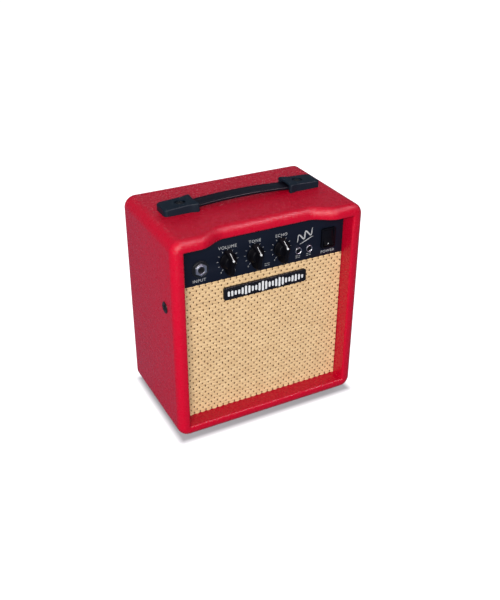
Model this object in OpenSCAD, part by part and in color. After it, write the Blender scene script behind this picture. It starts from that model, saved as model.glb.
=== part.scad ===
// Small two-speaker guitar practice amplifier.
// Millimetres. X runs to the right seen from the front, Y into the depth, Z up. The origin is the middle of
// the footprint on the surface that the feet stand on. Heights inside the modules are measured from the
// cabinet's bottom edge, and raised() lifts them onto the feet.

/* [Cabinet] */
// Width over the covering
cab_w = 190; // [186:1:200]
// Height without feet and handle
cab_h = 203; // [202:1:212]
// Depth
cab_d = 116; // [110:1:130]
// Wall thickness with the covering on both faces
wall = 11.2; // [10.8:0.1:12]
// Thickness of the vinyl covering
vinyl_t = 0.8; // [0.6:0.1:1]
// Radius of the four long edges
corner_r = 11; // [10:0.5:13]
// Rounding of the front edge
front_r = 7.5; // [6:0.5:8]
// Rounding of the back edge
back_r = 3.5; // [2.5:0.5:4]
// Depth of the front recess
recess = 16; // [15:0.5:18]
// How far the middle of the top front lip is set back
scoop_depth = 10.8; // [4:0.2:11]
// Half width of the fully set-back middle of the lip
scoop_inner = 42; // [35:1:45]
// Half width at which the lip is back at the front plane
scoop_outer = 68; // [60:1:72]

/* [Front] */
// Height of the control panel
panel_h = 41.5; // [40:0.5:42]
// Thickness of the panel and of the grille cloth
face_t = 1; // [0.8:0.1:1.2]
// Thickness of the baffle board
baffle_t = 9; // [8:0.5:9]
// Badge plate width
badge_w = 85; // [60:1:90]
// Badge plate height
badge_h = 12.5; // [10:0.5:14]
// How far the badge stands off the cloth
badge_t = 3; // [2:0.5:4]

/* [Controls] */
// Distance from knob to knob
knob_pitch = 26.9; // [24:0.1:27.5]
// Height of the knob axes
knob_z = 168.4; // [167:0.1:170]
// Overall height of a knob off the panel
knob_h = 12.6; // [11:0.2:14]
// Radius of the round knob skirt
skirt_r = 8.3; // [7.8:0.1:9]
// Length of the knob's nose from the axis
nose_len = 10.4; // [9.5:0.1:11]
// Length of the knob's tail from the axis
tail_len = 12; // [10:0.1:12.4]
// Full swing of the power rocker
rocker_throw = 24; // [16:1:26]

/* [Speakers] */
// Distance of each speaker axis from the middle
speaker_x = 40; // [39.5:0.5:41]
// Height of the speaker axes
speaker_z = 80; // [70:1:84]
// Side of the square speaker frame
frame_w = 77; // [74:1:78]

/* [Handle] */
// Width of the strap
strap_w = 16; // [14:0.5:16.5]
// Thickness of the strap
strap_t = 3; // [2.5:0.1:3.2]
// Depth position of the handle's centre line
handle_y = 5; // [0:0.5:8]
// Rise of the strap's middle over its ends
strap_rise = 2.7; // [1.5:0.1:3.5]

/* [Feet] */
// Height of the rubber feet
foot_h = 3; // [2:0.5:6]
// Radius of the rubber feet
foot_r = 8; // [6:0.5:9]

/* [Hidden] */
$fn = 48;

// Planes and clearances shared by several parts
front_y = -cab_d / 2;
back_y = cab_d / 2;
face_y = front_y + recess;
baffle_y = face_y + face_t;
baffle_back = baffle_y + baffle_t;
open_x = cab_w / 2 - wall;
open_z0 = wall;
open_z1 = cab_h - wall;
wood_x = cab_w / 2 - wall + vinyl_t;
wood_z0 = wall - vinyl_t;
wood_z1 = cab_h - wall + vinyl_t;
gap = 0.3;
wrap_t = 0.8;
panel_z = open_z1 - panel_h;

// Roundings of the covering where it turns into the openings
inner_corner_r = 0.4;
lip_r = 2;
back_lip_r = 1.5;
front_wrap = 2;
back_wrap = 7.5;
corner_steps = 6;
scoop_steps = 6;
scoop_step = (scoop_outer - scoop_inner) / scoop_steps;

// Controls, as [x, z] on the panel
knob_x = [-9.5 - knob_pitch, -9.5, -9.5 + knob_pitch];
jack_at = [-63, 166];
socket_at = [[35.4, 161.7], [46.8, 161.7]];
switch_at = [67, 168.4];
plug_r = 3.2;
jack_sleeve_r = 4.5;
socket_bore_r = 1.8;
socket_sleeve_r = 2.5;
pot_sleeve_r = 3.45;
shaft_r = 3;
pot_r = 8;
pot_y1 = face_y + 7.8;
board_y = baffle_back;
board_t = 1.6;
board_x = [-52, 56];
board_z = [153, 181];
window_x = [-76, 79.5];
window_z = [154.5, 184];

// Power switch
bezel = [15, 20];
bezel_t = 2;
switch_body = [12.8, 18.8, 15];
rocker_pocket = [10.6, 17.2, 9];
rocker_w = 10.2;
rocker_reach = 8.35;
rocker_axis_y = face_y + 1.5;
rocker_pin_r = 1.2;
running_gap = 0.05;

// Speakers, measured back from the baffle
speaker_cut_r = 35;
frame_t = 1.5;
screw_at = 31.5;
cone_r = 30;
coil_r = 10;
coil_t = 0.35;
basket_depth = 18;
plate_t = 3;
magnet_t = 10;
yoke_t = 4;
magnet_r = 25;
cone_paper = 0.6;

// Handle
cap_in = 46;
cap_out = 79;
cap_half = 10.7;
cap_flare = 1.6;
cap_low = 6.4;
cap_high = 8;
cap_screw_x = 60;
tab_t = 2;

// Rear
rear_t = 6;
rear_y = back_y - 2 - rear_t;
inlet_at = [52, 40];
batten = 12;
rear_screw_z = [25, 101, 178];

// Where the outer screws sit
side_screw_z = 133;
side_shank_r = 1.7;
foot_at = [74, 42];

vinyl_red = [0.75, 0.06, 0.12];
wood_tan = [0.72, 0.56, 0.38];
panel_navy = [0.08, 0.10, 0.16];
straw = [0.88, 0.77, 0.55];
soft_black = [0.08, 0.08, 0.09];
bright_metal = [0.78, 0.78, 0.80];

module raised() {
    translate([0, 0, foot_h]) children();
}

// Turns a shape drawn along Z so that it runs into the depth, +Y, from the given place
module into_depth(x, y, z) {
    translate([x, y, z]) rotate([-90, 0, 0]) children();
}

// A disc or rod along Y from y0 to y1
module rod(x, z, y0, y1, r) {
    into_depth(x, y0, z) cylinder(r = r, h = y1 - y0);
}

// A hexagonal nut around the Y axis, given its width across flats. With no turn its corners point sideways.
module hex_nut(x, z, y0, y1, flats, hole_r, turn = 0) {
    difference() {
        into_depth(x, y0, z) rotate(turn) cylinder(r = flats / sqrt(3), h = y1 - y0, $fn = 6);
        rod(x, z, y0 - 1, y1 + 1, hole_r);
    }
}

module rounded_rect(w, h, r) {
    square([w - 2 * r, h], center = true);
    square([w, h - 2 * r], center = true);
    for (sx = [-1, 1], sy = [-1, 1])
        translate([sx * (w / 2 - r), sy * (h / 2 - r)]) circle(r = r);
}

// A box between two corners
module block(a, b) {
    translate(a) cube(b - a);
}

// A screw along +Z with its head's underside at z = 0 and its shank below: a domed head with a cross slot
module screw(head_r, head_h, shank_r, shank_len) {
    dome_r = (head_r * head_r + head_h * head_h) / (2 * head_h);
    difference() {
        intersection() {
            cylinder(r = head_r, h = head_h);
            translate([0, 0, head_h - dome_r]) sphere(r = dome_r, $fn = 64);
        }
        for (a = [0, 90])
            rotate(a) translate([-head_r * 0.6, -head_r * 0.12, head_h * 0.45])
                cube([head_r * 1.2, head_r * 0.24, head_h]);
    }
    translate([0, 0, -shank_len]) cylinder(r = shank_r, h = shank_len);
}

// ---------------------------------------------------------------- cabinet walls
// The walls are one profile, drawn as depth into the wall and position front to back, carried round the
// cabinet. A station holds the outer and inner points of the wall there and the set-back of its front edge.
function smooth(t) = let (c = min(max(t, 0), 1)) c * c * (3 - 2 * c);
function setback(x) = scoop_depth * smooth((scoop_outer - abs(x)) / (scoop_outer - scoop_inner));

function corner_station(sx, sz, a) = [
    sx * (cab_w / 2 - corner_r) + corner_r * cos(a),
    sz * (cab_h / 2 - corner_r) + corner_r * sin(a),
    sx * (cab_w / 2 - wall - inner_corner_r) + inner_corner_r * cos(a),
    sz * (cab_h / 2 - wall - inner_corner_r) + inner_corner_r * sin(a), 0];
function corner(k, from, to) = let (sx = (k == 0 || k == 3) ? 1 : -1, sz = k < 2 ? 1 : -1)
    [for (i = [from : to]) corner_station(sx, sz, 90 * (k + i / corner_steps))];
function lip_station(x) = [x, cab_h / 2, x, cab_h / 2 - wall, setback(x)];
function lip_stations() = concat(
    [for (i = [0 : scoop_steps]) lip_station(scoop_outer - i * scoop_step)],
    [for (i = [0 : scoop_steps]) lip_station(-scoop_inner - i * scoop_step)]);

// Profile points are [depth into the wall, y, share of the set-back]; offset is the depth below the surface
function turn(cx, cy, r, a0, a1, n, share) =
    [for (i = [0 : n]) let (a = a0 + (a1 - a0) * i / n) [cx + r * cos(a), cy + r * sin(a), share]];
function wall_path(offset) = concat(
    [[wall - offset, face_y + front_wrap, 0]],
    turn(wall - lip_r, front_y + lip_r, lip_r - offset, 0, -90, 3, 1),
    turn(front_r, front_y + front_r, front_r - offset, -90, -180, 6, 1),
    turn(back_r, back_y - back_r, back_r - offset, 180, 90, 3, 0),
    turn(wall - back_lip_r, back_y - back_lip_r, back_lip_r - offset, 90, 0, 2, 0),
    [[wall - offset, back_y - back_wrap, 0]]);
function reversed(list) = [for (i = [len(list) - 1 : -1 : 0]) list[i]];

function wall_point(s, p) = let (f = p[0] / wall)
    [s[0] + (s[2] - s[0]) * f, p[1] + p[2] * s[4], cab_h / 2 + s[1] + (s[3] - s[1]) * f];
function wall_points(stations, profile) = [for (s = stations, p = profile) wall_point(s, p)];
function wall_faces(n, m, closed) = [for (i = [0 : n - (closed ? 1 : 2)], j = [0 : m - 1], h = [0, 1])
    let (a = i * m, b = ((i + 1) % n) * m, k = (j + 1) % m)
    h == 0 ? [a + j, b + j, b + k] : [a + j, b + k, a + k]];

module wall_run(stations, profile) {
    n = len(stations);
    m = len(profile);
    hub = floor(m / 2);
    last = (n - 1) * m;
    polyhedron(points = wall_points(stations, profile), convexity = 8, faces = concat(
        wall_faces(n, m, false),
        [for (i = [1 : m - 2]) [hub, (hub + i) % m, (hub + i + 1) % m]],
        [for (i = [1 : m - 2]) [last + (hub + i + 1) % m, last + (hub + i) % m, last + hub]]));
}

module wall_loop(stations, profile) {
    polyhedron(points = wall_points(stations, profile), convexity = 8,
        faces = wall_faces(len(stations), len(profile), true));
}

// The boards are mitred: each ends half way round its corner
half = corner_steps / 2;

module top_board() {
    color(wood_tan) raised() difference() {
        wall_run(concat(corner(0, half, corner_steps), lip_stations(), corner(1, 0, half)),
            wall_path(vinyl_t));
        for (s = [-1, 1])
            translate([s * cap_screw_x, handle_y, wood_z1 + 2]) cylinder(r = 2, h = 20);
    }
}

module bottom_board() {
    color(wood_tan) raised() wall_run(concat(corner(2, half, corner_steps), corner(3, 0, half)),
        wall_path(vinyl_t));
}

// The cross hole for the screws that hold the baffle's ends
module side_screw_hole(r) {
    translate([-cab_w, baffle_y + baffle_t / 2, side_screw_z]) rotate([0, 90, 0])
        cylinder(r = r, h = 2 * cab_w);
}

module side_board(k) {
    difference() {
        wall_run(concat(corner(k, half, corner_steps), corner((k + 1) % 4, 0, half)), wall_path(vinyl_t));
        side_screw_hole(side_shank_r + 0.1);
    }
}

module left_board() {
    color(wood_tan) raised() side_board(1);
}

module right_board() {
    color(wood_tan) raised() side_board(3);
}

module vinyl_covering() {
    color(vinyl_red) raised() difference() {
        wall_loop(concat(corner(0, 0, corner_steps), lip_stations(), corner(1, 0, corner_steps),
            corner(2, 0, corner_steps), corner(3, 0, corner_steps)),
            concat(wall_path(0), reversed(wall_path(vinyl_t))));
        for (s = [-1, 1])
            translate([s * cap_screw_x, handle_y, cab_h - 3]) cylinder(r = 2.1, h = 6);
        side_screw_hole(side_shank_r + 0.1);
    }
}

// ---------------------------------------------------------------- front
module baffle_board() {
    half_w = open_x - gap - wrap_t;
    color(wood_tan) raised() difference() {
        block([-half_w, baffle_y, open_z0 + gap + wrap_t], [half_w, baffle_back, open_z1 - gap]);
        for (s = [-1, 1]) {
            rod(s * speaker_x, speaker_z, baffle_y - 1, baffle_back + 1, speaker_cut_r);
            for (dx = [-1, 1], dz = [-1, 1])
                rod(s * speaker_x + dx * screw_at, speaker_z + dz * screw_at,
                    baffle_back - 7, baffle_back + 1, 1.3);
            translate([s * half_w, baffle_y + baffle_t / 2, side_screw_z]) rotate([0, -s * 90, 0])
                translate([0, 0, -1]) cylinder(r = side_shank_r, h = 15);
        }
        block([window_x[0], baffle_y - 1, window_z[0]], [window_x[1], baffle_back + 1, window_z[1]]);
    }
}

module baffle_battens() {
    color(wood_tan) raised() {
        block([-80, baffle_back, wood_z0], [80, baffle_back + batten, wood_z0 + 10]);
        block([-70, baffle_back, wood_z1 - 10], [70, baffle_back + batten, wood_z1]);
    }
}

module rear_battens() {
    color(wood_tan) raised() difference() {
        for (s = [-1, 1])
            block([s > 0 ? wood_x - batten : -wood_x, rear_y - batten, 22],
                [s > 0 ? wood_x : batten - wood_x, rear_y, 182]);
        for (s = [-1, 1], z = rear_screw_z)
            rod(s * (wood_x - batten / 2), z, rear_y - 11, rear_y + 1, 1.6);
    }
}

module grille_cloth() {
    x1 = open_x - gap;
    z1 = panel_z - 0.2;
    color(straw) raised() difference() {
        block([-x1, face_y, open_z0 + gap], [x1, baffle_back, z1]);
        block([wrap_t - x1, baffle_y, open_z0 + gap + wrap_t], [x1 - wrap_t, baffle_back + 1, z1 + 1]);
        side_screw_hole(side_shank_r + 0.1);
    }
}

module badge_plate() {
    color(soft_black) raised() translate([1, face_y, 135.8]) rotate([90, 0, 0])
        linear_extrude(badge_t) rounded_rect(badge_w, badge_h, 2);
}

module control_panel() {
    x1 = open_x - gap;
    color(panel_navy) raised() difference() {
        block([-x1, face_y, panel_z], [x1, baffle_y, open_z1 - gap]);
        for (x = knob_x) rod(x, knob_z, face_y - 1, baffle_y + 1, pot_sleeve_r + 0.1);
        for (p = socket_at) rod(p[0], p[1], face_y - 1, baffle_y + 1, socket_sleeve_r + 0.1);
        rod(jack_at[0], jack_at[1], face_y - 1, baffle_y + 1, jack_sleeve_r + 0.1);
        translate([switch_at[0], 0, switch_at[1]])
            block([-switch_body[0] / 2 - 0.1, face_y - 1, -switch_body[1] / 2 - 0.1],
                [switch_body[0] / 2 + 0.1, baffle_y + 1, switch_body[1] / 2 + 0.1]);
    }
}

// ---------------------------------------------------------------- jack and sockets
jack_back = baffle_y + 24;

module input_jack() {
    color(soft_black) raised() {
        difference() {
            block([jack_at[0] - 8, baffle_y, jack_at[1] - 9], [jack_at[0] + 8, jack_back, jack_at[1] + 9]);
            rod(jack_at[0], jack_at[1], baffle_y - 1, baffle_y + 4, jack_sleeve_r);
            rod(jack_at[0], jack_at[1], baffle_y, jack_back - 2, plug_r);
        }
        for (dx = [-5, 0, 5])
            block([jack_at[0] + dx - 1, jack_back, jack_at[1] - 5],
                [jack_at[0] + dx + 1, jack_back + 5, jack_at[1] - 4.2]);
    }
}

module input_sleeve() {
    color(bright_metal) raised() difference() {
        rod(jack_at[0], jack_at[1], face_y - 3.2, baffle_y + 4, jack_sleeve_r);
        rod(jack_at[0], jack_at[1], face_y - 5, baffle_y + 5, plug_r);
    }
}

module input_washer() {
    hole_r = jack_sleeve_r + 0.02;
    color(soft_black) raised() into_depth(jack_at[0], face_y - 1.2, jack_at[1]) rotate_extrude()
        polygon([[hole_r, 0.4], [7.2, 0.4], [7.4, 0.1], [7.8, 0.1], [8, 0.4], [8, 1.2], [hole_r, 1.2]]);
}

module input_nut() {
    color(bright_metal) raised()
        hex_nut(jack_at[0], jack_at[1], face_y - 2.6, face_y - 0.8, 10.4, jack_sleeve_r + 0.02, 30);
}

module line_sockets() {
    color(soft_black) raised() for (p = socket_at) difference() {
        union() {
            block([p[0] - 4.2, baffle_y, p[1] - 4.2], [p[0] + 4.2, board_y, p[1] + 4.8]);
            rod(p[0], p[1], face_y - 1.3, baffle_y + 1, socket_sleeve_r);
        }
        rod(p[0], p[1], face_y - 3, board_y + 1, socket_bore_r);
    }
}

module socket_rings() {
    hole_r = socket_sleeve_r + 0.02;
    color(bright_metal) raised() for (p = socket_at) into_depth(p[0], face_y - 1.5, p[1]) rotate_extrude()
        polygon([[hole_r, 0.3], [2.9, 0], [3.1, 0], [3.35, 0.3], [3.35, 1.5], [hole_r, 1.5]]);
}

// ---------------------------------------------------------------- rotary controls
module pot(x) {
    difference() {
        union() {
            rod(x, knob_z, baffle_y, pot_y1, pot_r);
            rod(x, knob_z, face_y - 3, baffle_y + 1, pot_sleeve_r);
            block([x - 6, pot_y1 - 2.5, knob_z - 11], [x + 6, pot_y1 - 1, knob_z - 4]);
        }
        rod(x, knob_z, face_y - 4, baffle_y + 4.2, shaft_r + running_gap);
    }
    for (dx = [-4, 0, 4])
        block([x + dx - 0.4, pot_y1 - 1, knob_z - 10], [x + dx + 0.4, board_y, knob_z - 9.2]);
}

module volume_pot() {
    color(bright_metal) raised() pot(knob_x[0]);
}

module eq_pot() {
    color(bright_metal) raised() pot(knob_x[1]);
}

module delay_pot() {
    color(bright_metal) raised() pot(knob_x[2]);
}

module pot_nuts() {
    color(bright_metal) raised() for (x = knob_x)
        hex_nut(x, knob_z, face_y - 2, face_y, 10, pot_sleeve_r + 0.02);
}

knob_foot = 0.8;
skirt_h = 2.2;
cavity_h = 3.2;
bore_top = 6.4;

module shaft(x) {
    rod(x, knob_z, face_y - bore_top + 0.3, baffle_y + 4, shaft_r);
}

module volume_shaft() {
    color(bright_metal) raised() shaft(knob_x[0]);
}

module eq_shaft() {
    color(bright_metal) raised() shaft(knob_x[1]);
}

module delay_shaft() {
    color(bright_metal) raised() shaft(knob_x[2]);
}

// A pointer knob: a round skirt with a tall fin that slopes down to the nose and runs out past the tail
module knob(x) {
    difference() {
        union() {
            into_depth(x, face_y - knob_foot - skirt_h, knob_z)
                cylinder(r1 = skirt_r - 0.5, r2 = skirt_r, h = skirt_h);
            into_depth(x, face_y - 7, knob_z) cylinder(r1 = 4.6, r2 = 7.6, h = 4.2);
            intersection() {
                translate([x - 4, 0, knob_z]) rotate([90, 0, 90]) linear_extrude(8) polygon([
                    [face_y - knob_foot, -tail_len + 1.2], [face_y - knob_foot, nose_len],
                    [face_y - 2.6, nose_len], [face_y - knob_h + 1.4, 5.4], [face_y - knob_h, 3.6],
                    [face_y - knob_h + 0.8, -2], [face_y - 9.6, -tail_len + 0.9], [face_y - 8.4, -tail_len],
                    [face_y - 4, -tail_len]]);
                translate([x, 0, knob_z - 20]) linear_extrude(40) for (s = [-1, 1])
                    polygon([[0, face_y], [s * 3.6, face_y], [s * 3.2, face_y - 3],
                        [s * 1.5, face_y - knob_h + 0.7], [s * 0.8, face_y - knob_h - 0.1],
                        [0, face_y - knob_h - 0.1]]);
            }
        }
        rod(x, knob_z, face_y - cavity_h, face_y + 1, 6.5);
        rod(x, knob_z, face_y - bore_top, face_y, shaft_r + 0.02);
    }
}

module volume_knob() {
    color(soft_black) raised() knob(knob_x[0]);
}

module eq_knob() {
    color(soft_black) raised() knob(knob_x[1]);
}

module delay_knob() {
    color(soft_black) raised() knob(knob_x[2]);
}

// ---------------------------------------------------------------- power switch
module switch_housing() {
    color(soft_black) raised() translate([switch_at[0], 0, switch_at[1]]) {
        difference() {
            union() {
                translate([0, face_y, 0]) rotate([90, 0, 0]) linear_extrude(bezel_t)
                    rounded_rect(bezel[0], bezel[1], 1.6);
                block([-switch_body[0] / 2, face_y, -switch_body[1] / 2],
                    [switch_body[0] / 2, face_y + switch_body[2], switch_body[1] / 2]);
            }
            block([-rocker_pocket[0] / 2, face_y - bezel_t - 1, -rocker_pocket[1] / 2],
                [rocker_pocket[0] / 2, face_y - bezel_t + rocker_pocket[2], rocker_pocket[1] / 2]);
            translate([-rocker_w / 2 - 0.7, rocker_axis_y, 0]) rotate([0, 90, 0])
                cylinder(r = rocker_pin_r + running_gap, h = rocker_w + 1.4);
        }
        for (z = [-5, 5])
            block([-2.4, face_y + switch_body[2], z - 0.4], [2.4, face_y + switch_body[2] + 6, z + 0.4]);
    }
}

// The rocker is drawn level and tipped with its upper end pressed in
module switch_rocker() {
    color(soft_black) raised() translate([switch_at[0], rocker_axis_y, switch_at[1]])
        rotate([-rocker_throw / 2, 0, 0]) {
            translate([-rocker_w / 2, 0, 0]) rotate([90, 0, 90]) linear_extrude(rocker_w) intersection() {
                circle(r = rocker_reach, $fn = 96);
                polygon([[2.6, -3], [2.6, 3], [0, 9], [-4.9, 9], [-3.9, 4.5], [-3.5, 0], [-3.9, -4.5],
                    [-4.9, -9], [0, -9]]);
            }
            translate([-rocker_w / 2 - 0.5, 0, 0]) rotate([0, 90, 0])
                cylinder(r = rocker_pin_r, h = rocker_w + 1);
        }
}

// ---------------------------------------------------------------- circuit board
board_back = board_y + board_t;

module circuit_board() {
    color([0.05, 0.35, 0.18]) raised() difference() {
        block([board_x[0], board_y, board_z[0]], [board_x[1], board_back, board_z[1]]);
        for (p = socket_at) rod(p[0], p[1], board_y - 1, board_back + 1, socket_bore_r + 0.3);
    }
}

module capacitors() {
    color([0.12, 0.16, 0.3]) raised() {
        rod(-40, 171, board_back, board_back + 14, 5);
        rod(-28, 171, board_back, board_back + 14, 5);
        rod(-34, 160, board_back, board_back + 9, 3.15);
    }
}

module amplifier_chip() {
    color(soft_black) raised() block([2, board_back, 160], [16, board_back + 3.5, 172]);
}

module heatsink() {
    y0 = board_back + 3.5;
    color(bright_metal) raised() {
        block([-8, y0, 157], [26, y0 + 2.5, 175]);
        for (i = [0 : 5])
            block([-8 + i * 6.5, y0 + 2.5, 157], [-6.5 + i * 6.5, y0 + 14, 175]);
    }
}

// A round wire through a list of points
function unit(v) = v / norm(v);
function tangent(p, i) = unit(p[min(i + 1, len(p) - 1)] - p[max(i - 1, 0)]);
function wire_ring(c, t, r, n) =
    let (a = unit(cross(t, abs(t[2]) < 0.9 ? [0, 0, 1] : [1, 0, 0])), b = cross(t, a))
    [for (k = [0 : n - 1]) c + r * cos(360 * k / n) * a + r * sin(360 * k / n) * b];

module wire(points, r) {
    n = 8;
    m = len(points);
    polyhedron(convexity = 4,
        points = [for (i = [0 : m - 1]) each wire_ring(points[i], tangent(points, i), r, n)],
        faces = concat(
            [for (i = [0 : m - 2], k = [0 : n - 1], h = [0, 1])
                let (a = i * n, b = (i + 1) * n, j = (k + 1) % n)
                h == 0 ? [a + k, a + j, b + j] : [a + k, b + j, b + k]],
            [[for (k = [n - 1 : -1 : 0]) k]], [[for (k = [0 : n - 1]) (m - 1) * n + k]]));
}

wire_r = 1.2;
left_wire = [[-20, -30.4, 158], [-20, -26, 158], [-20, -20, 155], [-19, -16, 147], [-17, -14, 134],
    [-14, -13, 120], [-12, -12.5, 106], [-12, -12, 94], [-12, -12, 86], [-12, -13, 81.5], [-12, -15, 80],
    [-12, -17, 80]];
right_wire = [[-14, -30.4, 158], [-14, -26, 158], [-13, -20, 154], [-9, -16, 147], [-2, -14, 134],
    [5, -13, 120], [10, -12.5, 106], [12, -12, 94], [12, -12, 86], [12, -13, 81.5], [12, -15, 80],
    [12, -17, 80]];
inlet_wire = [[40, -30.4, 158], [40, -26, 158], [40, -19, 155], [41, -8, 148], [43, 6, 136], [46, 20, 118],
    [49, 30, 96], [51, 34, 72], [52, 34.5, 54], [52, 35.5, 45], [52, 38, 40.5], [52, 40, 40], [52, 42, 40]];

module internal_wires() {
    color([0.15, 0.15, 0.16]) raised() {
        wire(left_wire, wire_r);
        wire(right_wire, wire_r);
        wire(inlet_wire, wire_r);
    }
}

// ---------------------------------------------------------------- rear
module rear_panel() {
    x1 = open_x - gap;
    color(soft_black) raised() difference() {
        block([-x1, rear_y, open_z0 + gap], [x1, rear_y + rear_t, open_z1 - gap]);
        rod(inlet_at[0], inlet_at[1], rear_y - 1, rear_y + rear_t + 1, 6.1);
        for (s = [-1, 1], z = rear_screw_z)
            rod(s * (wood_x - batten / 2), z, rear_y - 1, rear_y + rear_t + 1, 1.8);
    }
}

module rear_screws() {
    color(soft_black) raised() for (s = [-1, 1], z = rear_screw_z)
        into_depth(s * (wood_x - batten / 2), rear_y + rear_t, z) screw(3.6, 1.7, 1.6, 16);
}

// A round panel inlet for a barrel plug, with its centre pin
module dc_inlet() {
    y1 = rear_y + rear_t;
    color(soft_black) raised() {
        difference() {
            union() {
                rod(inlet_at[0], inlet_at[1], y1 - 14, y1, 6);
                rod(inlet_at[0], inlet_at[1], y1, y1 + 1.6, 7.5);
                rod(inlet_at[0], inlet_at[1], rear_y - 2.5, rear_y, 8);
            }
            rod(inlet_at[0], inlet_at[1], y1 - 9.5, y1 + 2, 2.9);
        }
        rod(inlet_at[0], inlet_at[1], y1 - 9.5, y1 - 1, 1);
    }
}

// ---------------------------------------------------------------- handle
strap_z = cab_h + 4;
strap_end = 54;
strap_tab = 68;
arch_r = (strap_end * strap_end + strap_rise * strap_rise) / (2 * strap_rise);

// The strap: a gentle arch that goes into the caps as thinner tabs, each slotted for its screw post
module handle_strap() {
    color(soft_black) raised() difference() {
        translate([0, handle_y + strap_w / 2, 0]) rotate([90, 0, 0]) linear_extrude(strap_w) {
            intersection() {
                difference() {
                    translate([0, strap_z + strap_rise - arch_r]) circle(r = arch_r, $fn = 360);
                    translate([0, strap_z + strap_rise - strap_t - arch_r]) circle(r = arch_r, $fn = 360);
                }
                translate([-strap_end, cab_h]) square([2 * strap_end, 12]);
            }
            for (s = [-1, 1])
                translate([s > 0 ? strap_end - 2 : -strap_tab, cab_h + 1])
                    square([strap_tab - strap_end + 2, tab_t]);
        }
        for (s = [-1, 1])
            translate([s * cap_screw_x, handle_y, cab_h]) linear_extrude(6) {
                circle(r = 3.9);
                translate([-3, -3.9]) square([6, 7.8]);
            }
    }
}

// An end cap: rounded outline, top rising towards the mouth, hollow for the strap, post for the screw
module handle_cap(s) {
    room = strap_w / 2 + 0.4;
    mirror([s < 0 ? 1 : 0, 0, 0]) difference() {
        intersection() {
            translate([0, handle_y, cab_h]) linear_extrude(12) {
                translate([(cap_in + cap_out) / 2, 0]) rounded_rect(cap_out - cap_in, 2 * cap_half, 3.5);
                polygon([[cap_in, -cap_half - cap_flare], [cap_in + 3, -cap_half - cap_flare],
                    [cap_in + 9, -cap_half + 0.2], [cap_in + 9, cap_half - 0.2],
                    [cap_in + 3, cap_half + cap_flare], [cap_in, cap_half + cap_flare]]);
            }
            translate([0, handle_y + 20, cab_h]) rotate([90, 0, 0]) linear_extrude(40) polygon([
                [cap_in, 0], [cap_out, 0], [cap_out, cap_low - 1.5], [cap_out - 1, cap_low - 0.3],
                [cap_out - 3, cap_low], [cap_in + 1.2, cap_high], [cap_in, cap_high - 0.6]]);
        }
        block([cap_in - 1, handle_y - room, cab_h - 1], [cap_in + 10, handle_y + room, cab_h + 6.2]);
        difference() {
            block([cap_in + 9, handle_y - room, cab_h - 1],
                [strap_tab + 1.5, handle_y + room, cab_h + 4.9]);
            translate([cap_screw_x, handle_y, cab_h]) cylinder(r = 3.3, h = 8);
        }
        translate([cap_screw_x, handle_y, cab_h - 1]) cylinder(r = 2.05, h = 12);
        translate([cap_screw_x, handle_y, cab_h + 5.7]) cylinder(r = 5, h = 6);
    }
}

module left_handle_cap() {
    color(soft_black) raised() handle_cap(-1);
}

module right_handle_cap() {
    color(soft_black) raised() handle_cap(1);
}

module handle_screws() {
    color(soft_black) raised() for (s = [-1, 1])
        translate([s * cap_screw_x, handle_y, cab_h + 5.7]) screw(4.3, 1.6, 1.98, 11);
}

module side_cups() {
    color(soft_black) raised() for (s = [-1, 1])
        translate([s * cab_w / 2, baffle_y + baffle_t / 2, side_screw_z]) rotate([0, s * 90, 0])
            rotate_extrude()
                polygon([[1.85, 0], [5.6, 0], [5.4, 0.45], [4.6, 0.85], [3.7, 0.6], [1.85, 0.6]]);
}

module side_screws() {
    color(soft_black) raised() for (s = [-1, 1])
        translate([s * (cab_w / 2 + 0.6), baffle_y + baffle_t / 2, side_screw_z]) rotate([0, s * 90, 0])
            screw(3.2, 1.1, side_shank_r - 0.02, 24);
}

module feet() {
    color(soft_black) raised() for (sx = [-1, 1], sy = [-1, 1])
        translate([sx * foot_at[0], sy * foot_at[1], -foot_h])
            cylinder(r1 = foot_r - 0.8, r2 = foot_r, h = foot_h);
}

// ---------------------------------------------------------------- speakers
// Every speaker piece is drawn for an axis at the origin, with y = 0 on the baffle's back face
module at_speaker(s) {
    raised() translate([s * speaker_x, baffle_back, speaker_z]) children();
}

// A turned piece: the outline is [radius, depth behind the baffle]
module turned(outline) {
    rotate([-90, 0, 0]) rotate_extrude() polygon(outline);
}

// The pressed frame, with its terminal strip on the side nearer the middle of the cabinet
module basket(s) {
    difference() {
        union() {
            block([-s * 28 - 4, basket_depth - 4.5, -4], [-s * 28 + 4, basket_depth - 3, 4]);
            rotate([-90, 0, 0]) linear_extrude(frame_t) rounded_rect(frame_w, frame_w, 8);
            turned([[33, 0], [36, 0], [36, frame_t], [34, 6], [25, basket_depth - 1.2],
                [23, basket_depth], [11.5, basket_depth], [11.5, basket_depth - 1.2],
                [22, basket_depth - 1.2], [32.5, 5.5], [33, frame_t]]);
        }
        rod(0, 0, -1, frame_t + 0.01, 33);
        rod(0, 0, -1, 0.8, 35.5);
        for (a = [45 : 90 : 315])
            rotate([0, a, 0]) block([16, 6.5, -8], [40, basket_depth - 6, 8]);
        for (dx = [-1, 1], dz = [-1, 1])
            rod(dx * screw_at, dz * screw_at, -1, frame_t + 1, 1.8);
    }
}

module left_basket() {
    color([0.2, 0.2, 0.22]) at_speaker(-1) basket(-1);
}

module right_basket() {
    color([0.2, 0.2, 0.22]) at_speaker(1) basket(1);
}

magnet_y0 = basket_depth + plate_t;
magnet_y1 = magnet_y0 + magnet_t;
coil_gap_r = coil_r + coil_t + 0.5;

module speaker_magnets() {
    color([0.16, 0.15, 0.15]) for (s = [-1, 1]) at_speaker(s)
        turned([[13, magnet_y0], [magnet_r, magnet_y0], [magnet_r, magnet_y1], [13, magnet_y1]]);
}

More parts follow.
